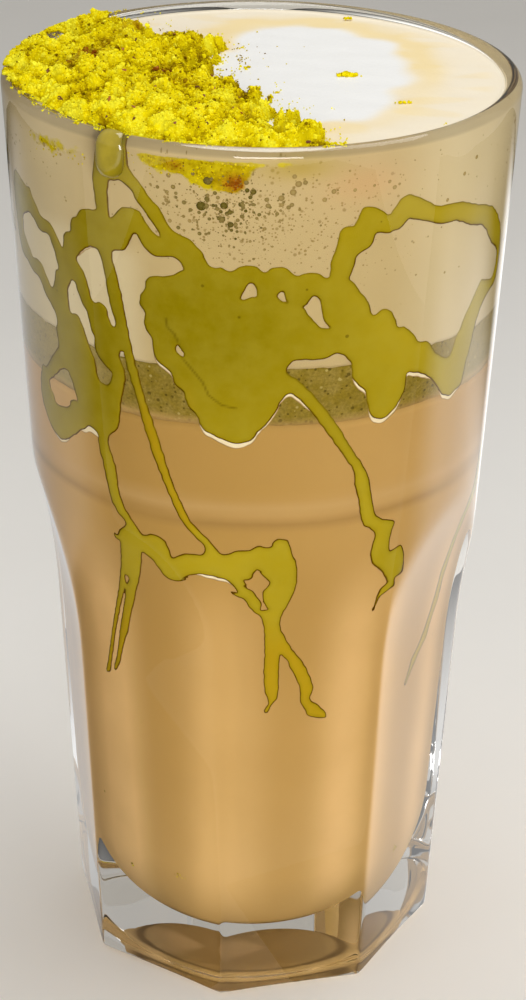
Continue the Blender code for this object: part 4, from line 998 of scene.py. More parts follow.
def build_latte_body(settings):
    """The latte from the bowl up to the nut band, as one lathe-like closed surface.

    Its under attribute marks a darker ring low in the bowl, painted shade at the drink's lower
    edge, and its two shoulder attributes are bell curves of the height, for a dark and a pale
    line near the arches' tops: a painted shade and a painted highlight.
    """
    rings = [polar(DRINK_ANGLES, *spot) for spot in zip(*bowl_profile(INTO_WALL, 22))]
    low = BOWL_FLOOR + BOWL_ROUNDING + 0.5 * MM
    high = NUT_BAND_BOTTOM + layer_wave(DRINK_ANGLES, 0.03 * MM)
    rings += [*layer_rings(low, high, 60), dished_ring(high, LAYER_DISH)]
    points, faces = closed_loft(np.stack(rings))
    around = np.arctan2(points[:, 0], -points[:, 1])
    height = points[:, 2] / MM
    # Painted shade at the drink's lower edge in the bowl.
    under = 0.8 * smooth_step(9.6, 8.5, height) * smooth_step(7.3, 7.9, height)
    return put_mesh("latte_body", points, faces, latte_material(settings),
                    values={"glow": side_light(around, points[:, 2]), "under": under,
                            "shoulder": bell((height, 96.8, 1.0)),
                            "shoulder_highlight": bell((height, 99.4, 1.5))})


def build_nut_layer(settings):
    """The band of ground nuts, whose upper and lower edges are finely uneven.

    Its haze attribute fades upwards from its lower edge, and its side attribute, painted light,
    is larger towards the left and the right.
    """
    points, faces = layer_body(NUT_BAND_BOTTOM + layer_wave(DRINK_ANGLES, 0.03 * MM),
                               NUT_BAND_TOP + layer_wave(DRINK_ANGLES, 0.05 * MM), 14)
    haze = 0.85 * (1 - smooth_step(NUT_BAND_BOTTOM - 0.2 * MM, NUT_BAND_BOTTOM + 1.6 * MM,
                                   points[:, 2]))
    across = points[:, 0] / np.hypot(points[:, 0], points[:, 1])
    # Painted light towards the left and right sides.
    side = 0.48 * smooth_step(-0.5, -0.85, across) + 0.4 * smooth_step(0.68, 0.92, across)
    return put_mesh("nut_layer_body", points, faces, nut_band_material(settings),
                    values={"haze": haze, "side": side})


def build_foam_body(settings):
    """The foam behind the wall.

    Its attributes are bell curves and smooth steps over angle and height: froth, which is
    largest in a patch near the front, pale, painted light that makes the foam paler at both
    sides and low at the left, crumbs and toast where nuts lie against the wall, and blush and
    stain, which tint two places.
    """
    points, faces = layer_body(NUT_BAND_TOP + layer_wave(DRINK_ANGLES, 0.05 * MM),
                               np.full(DRINK_ANGLES.shape, FOAM_LEVEL - 0.25 * MM), 64)
    around, height = degrees_round(points), points[:, 2] / MM
    froth = (0.75 * bell((around, -7, 13), (height, 151.5, 6.5))
             + 0.42 * bell((around, 12, 20), (height, 151, 8))
             + 0.25 * bell((np.abs(around), 120, 40), (height, 153, 6)))
    # Painted light: paler at both sides and low down at the left.
    pale = smooth_step(-24, -34, around) * smooth_step(146, 141, height) * 0.6
    pale = pale + 0.55 * smooth_step(28, 50, around) + 0.42 * smooth_step(-30, -58, around)
    pale = np.clip(pale + 0.1, 0, 1)
    scale = np.array([math.radians(1) * 39 * MM, MM])
    nut = outline_distance(around * scale[0], points[:, 2], NUT_HAZE * scale)
    crumbs = smooth_step(-1.3 * MM, 0.9 * MM, nut) * smooth_step(159.9, 159.2, height)
    left = 0.68 * bell((around, -52, 10), (height, 156.9, 1.6))
    blush = 0.5 * bell((around, 23, 9), (height, 155.5, 3.2))
    stain = 0.7 * bell((around, 8, 8), (height, 158.6, 1.8))
    return put_mesh("foam_body", points, faces, foam_material(settings),
                    values={"froth": froth, "pale": pale, "crumbs": np.maximum(crumbs, left),
                            "toast": np.clip(wall_toast(around, height), 0, 1),
                            "blush": blush, "stain": stain})


def outline_distance(x, y, outline):
    """Signed distance to a closed outline, positive inside, by segments and even-odd sides."""
    nearest = np.full(x.shape, np.inf)
    inside = np.zeros(x.shape, dtype=bool)
    for (x0, y0), (x1, y1) in zip(outline, np.roll(outline, -1, axis=0)):
        dx, dy = x1 - x0, y1 - y0
        t = np.clip(((x - x0) * dx + (y - y0) * dy) / (dx * dx + dy * dy), 0, 1)
        nearest = np.minimum(nearest, np.hypot(x - x0 - t * dx, y - y0 - t * dy))
        if dy:
            inside ^= ((y0 > y) != (y1 > y)) & (x < x0 + (y - y0) * dx / dy)
    return np.where(inside, nearest, -nearest)


def build_foam_top(settings):
    """The crown of the foam: a shallow dome with faint swirls.

    The milk attribute is 1 inside the poured patch with a soft edge, and the caramel
    attribute is a bell curve of the distance outside it.
    """
    angles = DRINK_ANGLES
    edge = float(inside_radius(FOAM_LEVEL)) + 0.04 * MM
    rings = [polar(angles, edge * 0.9, FOAM_LEVEL - 0.6 * MM),
             polar(angles, edge, FOAM_LEVEL - 0.5 * MM)]
    for part in np.linspace(1, 0.01, FOAM_TOP_RINGS):
        lift = FOAM_CROWN * (1 - part**2) + 0.25 * MM * smooth_step(0.985, 1.0, part)
        radius = edge * part
        x, y = radius * np.sin(angles), -radius * np.cos(angles)
        ripple = 0.02 * MM * waves(x, y, 7 * MM, 3) * smooth_step(1.0, 0.93, part)
        rings.append(polar(angles, radius, FOAM_LEVEL + lift + ripple))
    points, faces = closed_loft(np.stack(rings))
    x, y = points[:, 0], points[:, 1]
    drift = 1.1 * MM * waves(x, y, 12 * MM, 5) + 0.12 * MM * waves(x, y, 4 * MM, 6)
    inside = outline_distance(x, y, MILK_PATCH) + drift * 0.6
    milk = smooth_step(-1.9 * MM, 1.3 * MM, inside)
    ring = bell((inside, -3.6 * MM, 3.2 * MM))
    ring *= 0.45 + 0.55 * smooth_step(60, 110, np.abs(degrees_round(points)))
    streak = 0.35 * smooth_step(0.3, 1.2, waves(x * 0.5, y * 1.6, 9 * MM, 8))
    near_wall = smooth_step(edge - 3.5 * MM, edge - 0.5 * MM, np.hypot(x, y))
    caramel = np.clip(ring + streak * (1 - milk), 0, 1) * (1 - near_wall)
    return put_mesh("foam_crown", points, faces, foam_top_material(settings),
                    values={"milk": milk, "caramel": caramel})


# ------------------------------------------------------------------ sauce

def stroke_depth(strokes, angles, heights):
    """How deep points lie in a set of strokes; negative outside.

    Each stroke is a chain of tapered capsules. Depths are joined by the logarithm of the
    sum of their exponentials, which rounds the places where strokes meet.
    """
    radii = inside_radius(heights)
    around = radii * angles
    total = np.zeros(around.shape)
    for stroke in strokes:
        for start, stop in zip(stroke, stroke[1:] or stroke):
            ax, bx = radii * math.radians(start[0]), radii * math.radians(stop[0])
            ay, by = start[1] * MM, stop[1] * MM
            run = (bx - ax) ** 2 + (by - ay) ** 2 + 1e-12
            t = np.clip(((around - ax) * (bx - ax) + (heights - ay) * (by - ay)) / run, 0, 1)
            away = np.hypot(around - ax - t * (bx - ax), heights - ay - t * (by - ay))
            depth = (start[2] + t * (stop[2] - start[2])) * MM - away
            total += np.exp(np.clip(depth / STROKE_BLEND, -60, 60))
    return STROKE_BLEND * np.log(total + 1e-30)


def smooth_loop(points, parts=3):
    """A closed curve through points: cubic spans whose slopes run between the neighbours."""
    here, after = points, np.roll(points, -1, axis=0)
    span = np.hypot(*(after - here).T)
    slope = (after - np.roll(points, 1, axis=0)) / (span + np.roll(span, 1))[:, None]
    t = (np.arange(parts) / parts)[None, :, None]
    ease = 3 * t**2 - 2 * t**3
    start, stop = slope * span[:, None], np.roll(slope, -1, axis=0) * span[:, None]
    curve = ((1 - ease) * here[:, None] + ease * after[:, None]
             + (t**3 - 2 * t**2 + t) * start[:, None] + (t**3 - t**2) * stop[:, None])
    return curve.reshape(-1, 2)


def loops_depth(loops, across, up, reach=2.4 * MM):
    """Depth on a grid inside loops that may lie in each other, up to a reach.

    Each edge of a loop lowers the distance of the points near it, and the number of edges
    to the right of a point tells whether it is inside.
    """
    nearest = np.full((len(up), len(across)), reach)
    crossings = np.zeros((len(up), len(across) + 1), dtype=int)
    for loop in loops:
        for (x0, y0), (x1, y1) in zip(loop, np.roll(loop, -1, axis=0)):
            left, right = np.searchsorted(across, [min(x0, x1) - reach, max(x0, x1) + reach])
            low, high = np.searchsorted(up, [min(y0, y1) - reach, max(y0, y1) + reach])
            u, v = across[None, left:right], up[low:high, None]
            dx, dy = x1 - x0, y1 - y0
            t = np.clip(((u - x0) * dx + (v - y0) * dy) / (dx * dx + dy * dy + 1e-18), 0, 1)
            away = np.hypot(u - x0 - t * dx, v - y0 - t * dy)
            nearest[low:high, left:right] = np.minimum(nearest[low:high, left:right], away)
            low, high = np.searchsorted(up, [min(y0, y1), max(y0, y1)])
            if high > low:
                meet = x0 + (up[low:high] - y0) * dx / dy
                crossings[np.arange(low, high), np.searchsorted(across, meet)] += 1
    inside = np.cumsum(crossings[:, ::-1], axis=1)[:, ::-1][:, 1:] % 2 == 1
    return np.where(inside, nearest, -nearest)


def sauce_depth(across, up, front):
    """Depth in the sauce on a grid of the unrolled wall, at the front or round the back."""
    u, v = np.meshgrid(across, up)
    if front:
        scale = np.array([ALONG_DEGREE, MM])
        depth = loops_depth([smooth_loop(loop * scale) for loop in SAUCE_OUTLINES], across, up)
        depth += 0.035 * MM * waves(u, v, 1.7 * MM, 21)
        return np.maximum(depth, stroke_depth(SAUCE_STROKES[:1], u / SAUCE_MAP_RADIUS, v))
    depth = stroke_depth(SAUCE_STROKES, u / SAUCE_MAP_RADIUS, v)
    depth += 0.12 * MM * waves(u, v, 3.6 * MM, 22) * smooth_step(-2 * MM, 0.4 * MM, depth)
    depth = np.minimum(depth, -stroke_depth(SAUCE_HOLES, u / SAUCE_MAP_RADIUS, v))
    return np.where(np.abs(u) > FRONT_REACH * SAUCE_MAP_RADIUS, depth, -MM)


def snapped_sheet(depth, across, up, front, back):
    """A closed sheet over the part of a grid where a depth is positive.

    Grid cells whose middle is inside are kept; the points on the border of what is kept
    are moved along the depth's slope onto the line where the depth is zero. front and
    back place the flat points in space. Gives points, faces, each point's depth, and the
    mask of the grid points that were used.
    """
    u, v = np.meshgrid(across, up)
    low, high = slice(None, -1), slice(1, None)
    corners = (low, low), (high, low), (low, high), (high, high)
    kept = sum(depth[corner] for corner in corners) / 4 > 0
    around = np.zeros(depth.shape, dtype=int)
    for corner in corners:
        around[corner] += kept
    border = (around > 0) & (around < 4)
    slope_v, slope_u = np.gradient(depth, up[1] - up[0], across[1] - across[0])
    steep = np.maximum(slope_u**2 + slope_v**2, 0.25)
    limit = 0.75 * (up[1] - up[0])
    u = np.where(border, u + np.clip(-depth * slope_u / steep, -limit, limit), u)
    v = np.where(border, v + np.clip(-depth * slope_v / steep, -limit, limit), v)
    depth = np.where(border, 0.0, depth)
    used = around > 0
    place = np.full(depth.shape, -1)
    place[used] = np.arange(used.sum())
    count = int(used.sum())
    front_faces = grid_quads(place)[kept]
    back_faces = front_faces[:, ::-1] + count
    a, b, c, d = np.moveaxis(grid_quads(place), -1, 0)
    padded = np.pad(kept, 1)
    walls = []
    for beside, first, second in ((padded[:-2, 1:-1], a, b), (padded[1:-1, 2:], b, c),
                                  (padded[2:, 1:-1], c, d), (padded[1:-1, :-2], d, a)):
        open_side = kept & ~beside
        p, q = first[open_side], second[open_side]
        walls.append(np.stack([q, p, p + count, q + count], axis=-1))
    u, v, depth = u[used], v[used], depth[used]
    points = np.concatenate([front(u, v, depth), back(u, v, depth)])
    return points, [front_faces, back_faces, np.concatenate(walls)], np.tile(depth, 2), used


def wall_grid(spacing, low, high, reach):
    """Grid lines of the unrolled wall: across from -reach to reach, up from low to high."""
    limit = SAUCE_MAP_RADIUS * reach
    return np.arange(-limit, limit, spacing), np.arange(low, high, spacing)


def on_wall(lift, bulge=0.0):
    """A function that puts flat points on the inside of the wall, moved out by a lift.

    Away from the edges it adds bulge * (1 - exp(-depth / half a millimetre)).
    """
    def place(u, v, depth):
        radius = inside_radius(v) + lift + bulge * (1 - np.exp(-depth / (0.5 * MM)))
        return polar(u / SAUCE_MAP_RADIUS, radius, v)
    return place


def build_sauce_sheet(name, material, spacing, front_part):
    """The sauce on the wall: its face bulges towards the glass away from its edges.

    The light attribute, painted light and shade, and the gold and rim attributes are bell
    curves and smooth steps over angle and height; rim sets how strong the painted shade line
    at the edges is. crease is a bell curve of the distance from a line drawn in the sauce,
    for a line of painted shade.
    """
    across, up = wall_grid(spacing, SAUCE_MAP_BOTTOM, FOAM_LEVEL - 0.1 * MM,
                           FRONT_REACH + math.radians(1) if front_part else SAUCE_MAP_SEAM)
    field = sauce_depth(across, up, front_part)
    slope_v, slope_u = np.gradient(field)
    facing = (0.94 * slope_v - 0.35 * slope_u) / (np.hypot(slope_u, slope_v) + 1e-12)
    points, faces, depth, used = snapped_sheet(
        field, across, up, on_wall(SAUCE_STANDOFF, SAUCE_RELIEF), on_wall(-0.4 * MM))
    around, level = degrees_round(points), points[:, 2] / MM
    # Painted light and shade over angle and height.
    light = (0.62 - 0.75 * bell((around, -12, 26), (level, 134, 15))
             + 0.34 * smooth_step(114, 100, level) + 0.38 * smooth_step(18, 45, around)
             - 0.45 * smooth_step(-25, -42, around) * smooth_step(100, 116, level))
    thin = smooth_step(-36, -30, around) * smooth_step(-14, -19, around)
    thin = thin * smooth_step(124, 112, level) * smooth_step(90, 97, level)
    gold = 0.45 * np.maximum(smooth_step(82, 69, level), thin)
    # Strength of the painted shade line: most on lower edges and low on the wall.
    rim = np.maximum(np.tile(smooth_step(-0.35, 0.45, facing[used]), 2),
                     smooth_step(114, 104, level))
    per_degree = ALONG_DEGREE / MM
    there_and_back = np.concatenate([SAUCE_CREASE, SAUCE_CREASE[-2:0:-1]]) * (per_degree, 1)
    # Painted shade along the crease line.
    crease = bell((outline_distance(around * per_degree, level, there_and_back), 0, 0.16))
    return put_mesh(name, points, faces, material,
                    values={"depth": depth / MM, "light": np.clip(light, 0, 1), "gold": gold,
                            "rim": rim, "crease": 0.6 * crease})


def build_milk_film(settings):
    """Milk under the sauce's lobes, partly a painted highlight: near each spot the sauce's outline
    is moved down.

    The fall is greatest at the spot, by exp of minus the fourth power of the distance. The
    film reaches a little way in under the sauce's edge.
    """
    spacing = 0.26 * MM
    across, up = wall_grid(spacing, 80 * MM, 150 * MM, FRONT_REACH)
    fresh = sauce_depth(across, up, True)
    u, v = np.meshgrid(across, up)
    drop = np.zeros(u.shape)
    for angle, height, reach, fall in FILM_SPOTS:
        away = np.hypot(u - math.radians(angle) * SAUCE_MAP_RADIUS, v - height * MM)
        away = away / (reach * MM)
        drop = np.maximum(drop, fall * MM * np.exp(-away**4))
    row = np.clip((v + drop - up[0]) / spacing, 0, len(up) - 1.001)
    below = row.astype(int)
    column = np.broadcast_to(np.arange(len(across)), u.shape)
    part = row - below
    moved = fresh[below, column] * (1 - part) + fresh[below + 1, column] * part
    field = np.minimum(np.minimum(moved, 0.5 * MM - fresh), (drop - 0.12 * MM) * 4)
    points, faces, depth, _ = snapped_sheet(field, across, up, on_wall(FILM_STANDOFF),
                                            on_wall(-0.3 * MM))
    return put_mesh("milk_film_highlight", points, faces, film_highlight_material(settings),
                    values={"depth": depth / MM})


def inside_sauce(angles, heights, margin):
    """Which points of the wall lie in the sauce, or within a margin of it."""
    spacing = 0.5 * MM
    across, up = wall_grid(spacing, SAUCE_MAP_BOTTOM, FOAM_LEVEL, SAUCE_MAP_SEAM)
    column = np.round((angles * SAUCE_MAP_RADIUS - across[0]) / spacing).astype(int)
    row = np.round((heights - up[0]) / spacing).astype(int)
    column, row = np.clip(column, 0, len(across) - 1), np.clip(row, 0, len(up) - 1)
    front, back = (sauce_depth(across, up, part)[row, column] for part in (True, False))
    return (front > -margin) | (back > -margin)


def build_bubbles(settings):
    """Bubbles at the wall: small caps, a few placed and many seeded round them.

    Each cap is four rings on the wall, the outermost sunk into the foam. The middle
    attribute falls from 1 in the middle to 0 at the edge, where the painted shade is darkest.
    """
    rng = np.random.default_rng(11)
    left, right, anywhere = 420, 160, 200
    angle = np.concatenate([rng.normal(-7, 9, left), rng.normal(12, 18, right),
                            rng.uniform(-180, 180, anywhere)])
    height = np.concatenate([rng.normal(151, 4.0, left), rng.normal(150, 6.0, right),
                             rng.uniform(132, 158.5, anywhere)])
    radius = 0.09 + 0.30 * rng.random(len(angle)) ** 3.2
    radius = radius * (0.6 + 0.4 * smooth_step(146.0, 151.0, height))
    pale = 0.25 + 0.03 * np.abs(angle + 7) + rng.normal(0, 0.15, len(angle))
    pale = np.clip(pale + 0.3 * smooth_step(150.0, 145.0, height), 0, 1)
    angle, height, radius, pale = np.concatenate([BUBBLES, np.stack([angle, height, radius, pale],
                                                                    axis=-1)]).T
    angle, height, radius = np.radians(angle), height * MM, radius * MM
    low, high = BUBBLE_LEVELS
    kept = (height > low) & (height < high) & ~inside_sauce(angle, height, 0.3 * MM)
    angle, height, radius, pale = angle[kept], height[kept], radius[kept], pale[kept]
    turns = np.linspace(0, TAU, 12, endpoint=False)
    parts = np.array([0.15, 0.6, 0.9, 1.0])
    lift = np.array([0.06, 0.055, 0.03, -0.06])[None, :, None] * MM
    du = parts[:, None] * np.cos(turns)
    dv = parts[:, None] * np.sin(turns)
    angle, height, radius, pale = (each[:, None, None] for each in (angle, height, radius, pale))
    u = angle + radius * du / inside_radius(height)
    v = height + radius * dv
    rings = polar(u, inside_radius(v) + INTO_WALL + lift, v)
    index = np.arange(u.size).reshape(u.shape)
    following = np.roll(index, -1, axis=2)
    quads = np.stack([index[:, :-1], index[:, 1:], following[:, 1:], following[:, :-1]], axis=-1)
    caps, bases = index[:, 0, :], index[:, -1, ::-1]
    middle = np.broadcast_to(1 - parts[None, :, None], index.shape)
    return put_mesh("foam_bubbles", rings.reshape(-1, 3), [quads.reshape(-1, 4), caps, bases],
                    bubble_material(settings),
                    values={"middle": middle.ravel(),
                            "pale": np.broadcast_to(pale, index.shape).ravel()})


# ------------------------------------------------------------------ crushed pistachio

def heap_depth(x, y):
    """Depth in the heap from its wavering outline, gaps taken out.

    The outline wavers most on the foam and hardly at all along the wall.
    """
    depth = outline_distance(x, y, HEAP_OUTLINE)
    loose = 0.35 + 0.65 * smooth_step(37 * MM, 33 * MM, np.hypot(x, y))
    waver = 1.5 * waves(x, y, 4.0 * MM, 41) + 0.8 * waves(x, y, 1.4 * MM, 42)
    depth = depth + loose * MM * waver
    for gap_x, gap_y, gap_radius in HEAP_GAPS:
        depth = np.minimum(depth, np.hypot(x - gap_x, y - gap_y) - gap_radius
                           + 0.4 * MM * waves(x, y, 1.5 * MM, 43))
    return np.minimum(depth, HEAP_REACH - np.hypot(x, y))


def heap_ground(x, y):
    """What the heap lies on: the foam, with a ramp up over the lip."""
    return np.interp(np.hypot(x, y), [LIP_MIDDLE_RADIUS - 3 * MM, LIP_MIDDLE_RADIUS - 1 * MM],
                     [FOAM_LEVEL + FOAM_CROWN, LIP_CENTRE_HEIGHT + LIP_RADIUS])


def heap_humps(x, y):
    """Clumps of the heap: the sizes of three waves, so that humps meet in creases."""
    return (0.60 * np.abs(waves(x, y, 7.4 * MM, 51)) + 0.40 * np.abs(waves(x, y, 3.9 * MM, 54))
            + 0.20 * np.abs(waves(x, y, 2.0 * MM, 52)) - 0.6)


def heap_top(x, y, depth):
    """Top of the heap: it rises from its edge by 1 - exp(-depth / slope), with clumps.

    The clumps are humps of a few millimetres with finer ones on them; where two humps
    meet there is a crease. A bell curve thins the heap in one place, half spheres stand
    out of it, and near its highest point it levels off.
    """
    rise = 1 - np.exp(-np.clip(depth, 0, None) / HEAP_SLOPE)
    humps = heap_humps(x, y) + 0.15 * waves(x, y, 1.1 * MM, 53)
    top = FOAM_LEVEL + FOAM_CROWN + HEAP_EDGE + (HEAP_HEIGHT - HEAP_EDGE) * rise
    top = top + 1.1 * MM * humps * rise
    thin_x, thin_y, thin_reach = HEAP_THIN
    away = ((x - thin_x) / thin_reach) ** 2 + ((y - thin_y) / thin_reach) ** 2
    thin = 0.85 * np.exp(-away**2)
    ground = heap_ground(x, y) + 0.2 * MM
    top = ground + (top - ground) * (1 - thin)
    for ball_x, ball_y, ball_radius in HEAP_BALLS:
        away = np.hypot(x - ball_x, y - ball_y)
        dome = np.sqrt(np.clip(ball_radius**2 - away**2, 0, None))
        dome = FOAM_LEVEL + 1.25 * ball_radius + dome
        top = np.where(away < ball_radius, np.maximum(top, dome), top)
    levelled = 0.25 * MM * np.exp(-np.clip(HEAP_LIMIT - top, 0, None) / MM)
    top = np.minimum(top, HEAP_LIMIT - levelled)
    return np.maximum(top, heap_ground(x, y) + 0.3 * MM)


def heap_toast(x, y):
    """How browned the nuts are: bell curves round the toasted places, broken up by noise."""
    found = np.zeros(np.shape(x))
    for place_x, place_y, reach, strength in TOASTED:
        away = np.hypot(x - place_x, y - place_y) / reach
        found = np.maximum(found, strength * np.exp(-away**2))
    return np.clip(found * (1.0 + 0.6 * waves(x, y, 1.2 * MM, 91)), 0, 1)


def heap_tint_and_shade(x, y):
    """Tint of the nuts with painted light and shade: paler towards the front and the left, darker
    in creases.
    """
    tint = 0.36 + 0.10 * waves(x, y, 8 * MM, 92) + 0.66 * np.clip(heap_humps(x, y), -0.6, 0.6)
    tint = tint + 0.16 * smooth_step(-14 * MM, -26 * MM, y)
    tint = tint + 0.16 * smooth_step(-28 * MM, -36 * MM, x)
    return tint - 0.16 * smooth_step(-24 * MM, -12 * MM, x) * smooth_step(-20 * MM, -8 * MM, y)


def build_heap_core(settings):
    """The heap's body: a field of heights over its outline, with a finely broken surface."""
    spacing = 0.25 * MM
    across = np.arange(-43 * MM, 11 * MM, spacing)
    up = np.arange(-40 * MM, 33 * MM, spacing)

    def front(x, y, depth):
        rough = 0.10 * MM * waves(x, y, 0.75 * MM, 61, 24) * smooth_step(0, 0.8 * MM, depth)
        return np.stack([x, y, heap_top(x, y, depth) + rough], axis=-1)

    def back(x, y, depth):
        return np.stack([x, y, heap_ground(x, y) - 0.02 * MM], axis=-1)

    field = heap_depth(*np.meshgrid(across, up))
    points, faces, _, _ = snapped_sheet(field, across, up, front, back)
    x, y = points[:, 0], points[:, 1]
    # Painted shade: the core is a little darker than the crumbs on it.
    tint = np.clip(heap_tint_and_shade(x, y) - 0.08 + 0.07 * waves(x, y, 0.9 * MM, 71), 0.02, 1)
    return put_mesh("nut_heap", points, faces, nut_material("nut_heap_core", settings, 0.1),
                    values={"tint": tint, "toast": heap_toast(x, y)})


def octahedron():
    """Corners and faces of the shape of a small crumb."""
    corners = np.array([(1, 0, 0), (-1, 0, 0), (0, 1, 0), (0, -1, 0), (0, 0, 1), (0, 0, -1)])
    faces = np.array([(0, 2, 4), (2, 1, 4), (1, 3, 4), (3, 0, 4), (2, 0, 5), (1, 2, 5),
                      (3, 1, 5), (0, 3, 5)])
    return corners, faces


def icosahedron():
    """Corners and faces of the shape of a crumb: three golden rectangles, twenty faces."""
    g = (1 + math.sqrt(5)) / 2
    corners = np.array([(-1, g, 0), (1, g, 0), (-1, -g, 0), (1, -g, 0), (0, -1, g), (0, 1, g),
                        (0, -1, -g), (0, 1, -g), (g, 0, -1), (g, 0, 1), (-g, 0, -1), (-g, 0, 1)])
    faces = np.array([(0, 11, 5), (0, 5, 1), (0, 1, 7), (0, 7, 10), (0, 10, 11), (1, 5, 9),
                      (5, 11, 4), (11, 10, 2), (10, 7, 6), (7, 1, 8), (3, 9, 4), (3, 4, 2),
                      (3, 2, 6), (3, 6, 8), (3, 8, 9), (4, 9, 5), (2, 4, 11), (6, 2, 10),
                      (8, 6, 7), (9, 8, 1)])
    return corners / np.linalg.norm(corners[0]), faces


def random_turns(rng, count):
    """Rotation matrices from seeded unit quaternions."""
    w, x, y, z = rng.normal(size=(4, count))
    size = np.sqrt(w * w + x * x + y * y + z * z)
    w, x, y, z = w / size, x / size, y / size, z / size
    rows = [[1 - 2 * (y * y + z * z), 2 * (x * y - z * w), 2 * (x * z + y * w)],
            [2 * (x * y + z * w), 1 - 2 * (x * x + z * z), 2 * (y * z - x * w)],
            [2 * (x * z - y * w), 2 * (y * z + x * w), 1 - 2 * (x * x + y * y)]]
    return np.moveaxis(np.array(rows), -1, 0)


def put_crumbs(name, centres, radii, tints, rng, material, stretch=(1.0, 1.0, 1.0),
               roughness=0.32, shape=icosahedron, toast=None):
    """Many crumbs in one mesh.

    Each is one of some rough shapes, whose corners are moved in and out by seeded shares,
    and is stretched, turned and placed.
    """
    outline, faces = shape()
    corners = len(outline)
    shapes = outline[None] * rng.uniform(1 - roughness, 1 + roughness,
                                         (ROUGH_SHAPES, corners, 1))
    count = len(centres)
    chosen = shapes[rng.integers(0, len(shapes), count)] * np.array(stretch)
    turned = np.einsum("nij,nkj->nki", random_turns(rng, count), chosen)
    points = centres[:, None, :] + radii[:, None, None] * turned
    index = faces[None] + corners * np.arange(count)[:, None, None]
    if toast is None:
        toast = heap_toast(centres[:, 0], centres[:, 1])
    return put_mesh(name, points.reshape(-1, 3), [index.reshape(-1, 3)], material, smooth=False,
                    values={"tint": np.repeat(tints, corners), "toast": np.repeat(toast, corners)})


def heap_places(rng, count, overhang):
    """Seeded places on the heap, thinning out to an overhang beyond its edge.

    Beyond the edge the places gather in wisps.
    """
    low, high = np.array([-43, -40]) * MM, np.array([13, 34]) * MM
    x, y = rng.uniform(low[:, None], high[:, None], (2, count * 5))
    depth = heap_depth(x, y)
    wisps = smooth_step(-0.4, 0.9, waves(x, y, 2.6 * MM, 44))
    chance = np.where(depth > 0, 1.0, np.exp(np.minimum(depth, 0) / overhang) * wisps)
    kept = (rng.random(len(x)) < chance) & (np.hypot(x, y) < HEAP_REACH - 0.4 * MM)
    return x[kept][:count], y[kept][:count], depth[kept][:count]


def build_crumbs(settings):
    """Crumbs on the heap in three sizes, bits of skin, stray crumbs and crumbs at the wall."""
    rng = np.random.default_rng(5)
    nut = nut_material("crushed_nut", settings)
    pieces = []
    for name, count, low, high, overhang, shape in (
            ("nut_dust", settings.dust_count, 0.10, 0.20, 2.2 * MM, octahedron),
            ("fine_nut_crumbs", settings.fine_count, 0.13, 0.27, 1.0 * MM, icosahedron),
            ("coarse_nut_crumbs", settings.coarse_count, 0.25, 0.55, 0.3 * MM, icosahedron)):
        x, y, depth = heap_places(rng, count, overhang)
        radii = (low + (high - low) * rng.random(len(x)) ** 1.8) * MM
        ground = np.where(depth > 0, heap_top(x, y, depth), heap_ground(x, y))
        height = ground + radii * rng.uniform(-0.4, 0.6, len(x))
        height = np.minimum(height, HEAP_TOP - 1.35 * radii)
        centres = np.stack([x, y, height], axis=-1)
        tints = np.clip(heap_tint_and_shade(x, y) + rng.normal(0.06, 0.19, len(x)), 0.02, 1)
        tints = np.where(rng.random(len(x)) < 0.03, 0.03, tints)
        pieces.append(put_crumbs(name, centres, radii, tints, rng, nut, shape=shape))
    x, y, depth = heap_places(rng, 130, 0.3 * MM)
    radii = (0.16 + 0.36 * rng.random(len(x)) ** 3) * MM
    ground = np.where(depth > 0, heap_top(x, y, depth), heap_ground(x, y))
    centres = np.stack([x, y, ground + 0.3 * radii], axis=-1)
    centres[0], radii[0] = LARGE_SKIN_BIT
    pieces.append(put_crumbs("nut_skin_bits", centres, radii, rng.random(len(x)), rng,
                             skin_material(settings), stretch=(1.2, 0.8, 0.35)))
    stray = np.array([spot[:5] for spot in STRAY_CRUMBS for _ in range(spot[5])]) * MM
    x, y = stray[:, :2].T + stray[:, 2:4].T * rng.normal(size=(2, len(stray)))
    radii = stray[:, 4] * rng.uniform(0.5, 1.1, len(stray))
    centres = np.stack([x, y, heap_ground(x, y) + rng.uniform(0, 0.6, len(x)) * radii], axis=-1)
    pieces.append(put_crumbs("stray_nut_crumbs", centres, radii, rng.uniform(0.3, 0.75, len(x)),
                             rng, nut, stretch=(1, 0.8, 0.6)))
    pieces.append(build_sunk_crumbs(rng, nut))
    return pieces


def wall_toast(around, height):
    """How browned the nuts at the wall are, over degrees and millimetres: two bell curves."""
    return (bell((around, -5.4, 2.9), (height, 156.2, 1.5))
            + 0.6 * bell((around, -18.5, 2.2), (height, 158.3, 0.8)))


def build_sunk_crumbs(rng, material):
    """Crumbs pressed against the wall below the foam's edge, in seeded clusters."""
    angle, height = [], []
    for middle, level, wide, tall, held in SUNK_CRUMBS:
        angle.append(np.radians(rng.normal(middle, wide, held)))
        height.append(rng.normal(level, tall, held) * MM)
    angle, height = np.concatenate(angle), np.minimum(np.concatenate(height), SUNK_TOP)
    radii = (0.10 + 0.16 * rng.random(len(angle)) ** 1.5) * MM
    centres = polar(angle, inside_radius(height) - 0.02 * MM, height)
    tints = np.clip(0.30 + rng.normal(0, 0.14, len(angle)), 0.02, 1)
    toast = np.clip(1.5 * wall_toast(np.degrees(angle), height / MM), 0, 1)
    return put_crumbs("sunk_nut_crumbs", centres, radii, tints, rng, material, roughness=0.25,
                      toast=toast)


# ------------------------------------------------------------------ drop over the lip

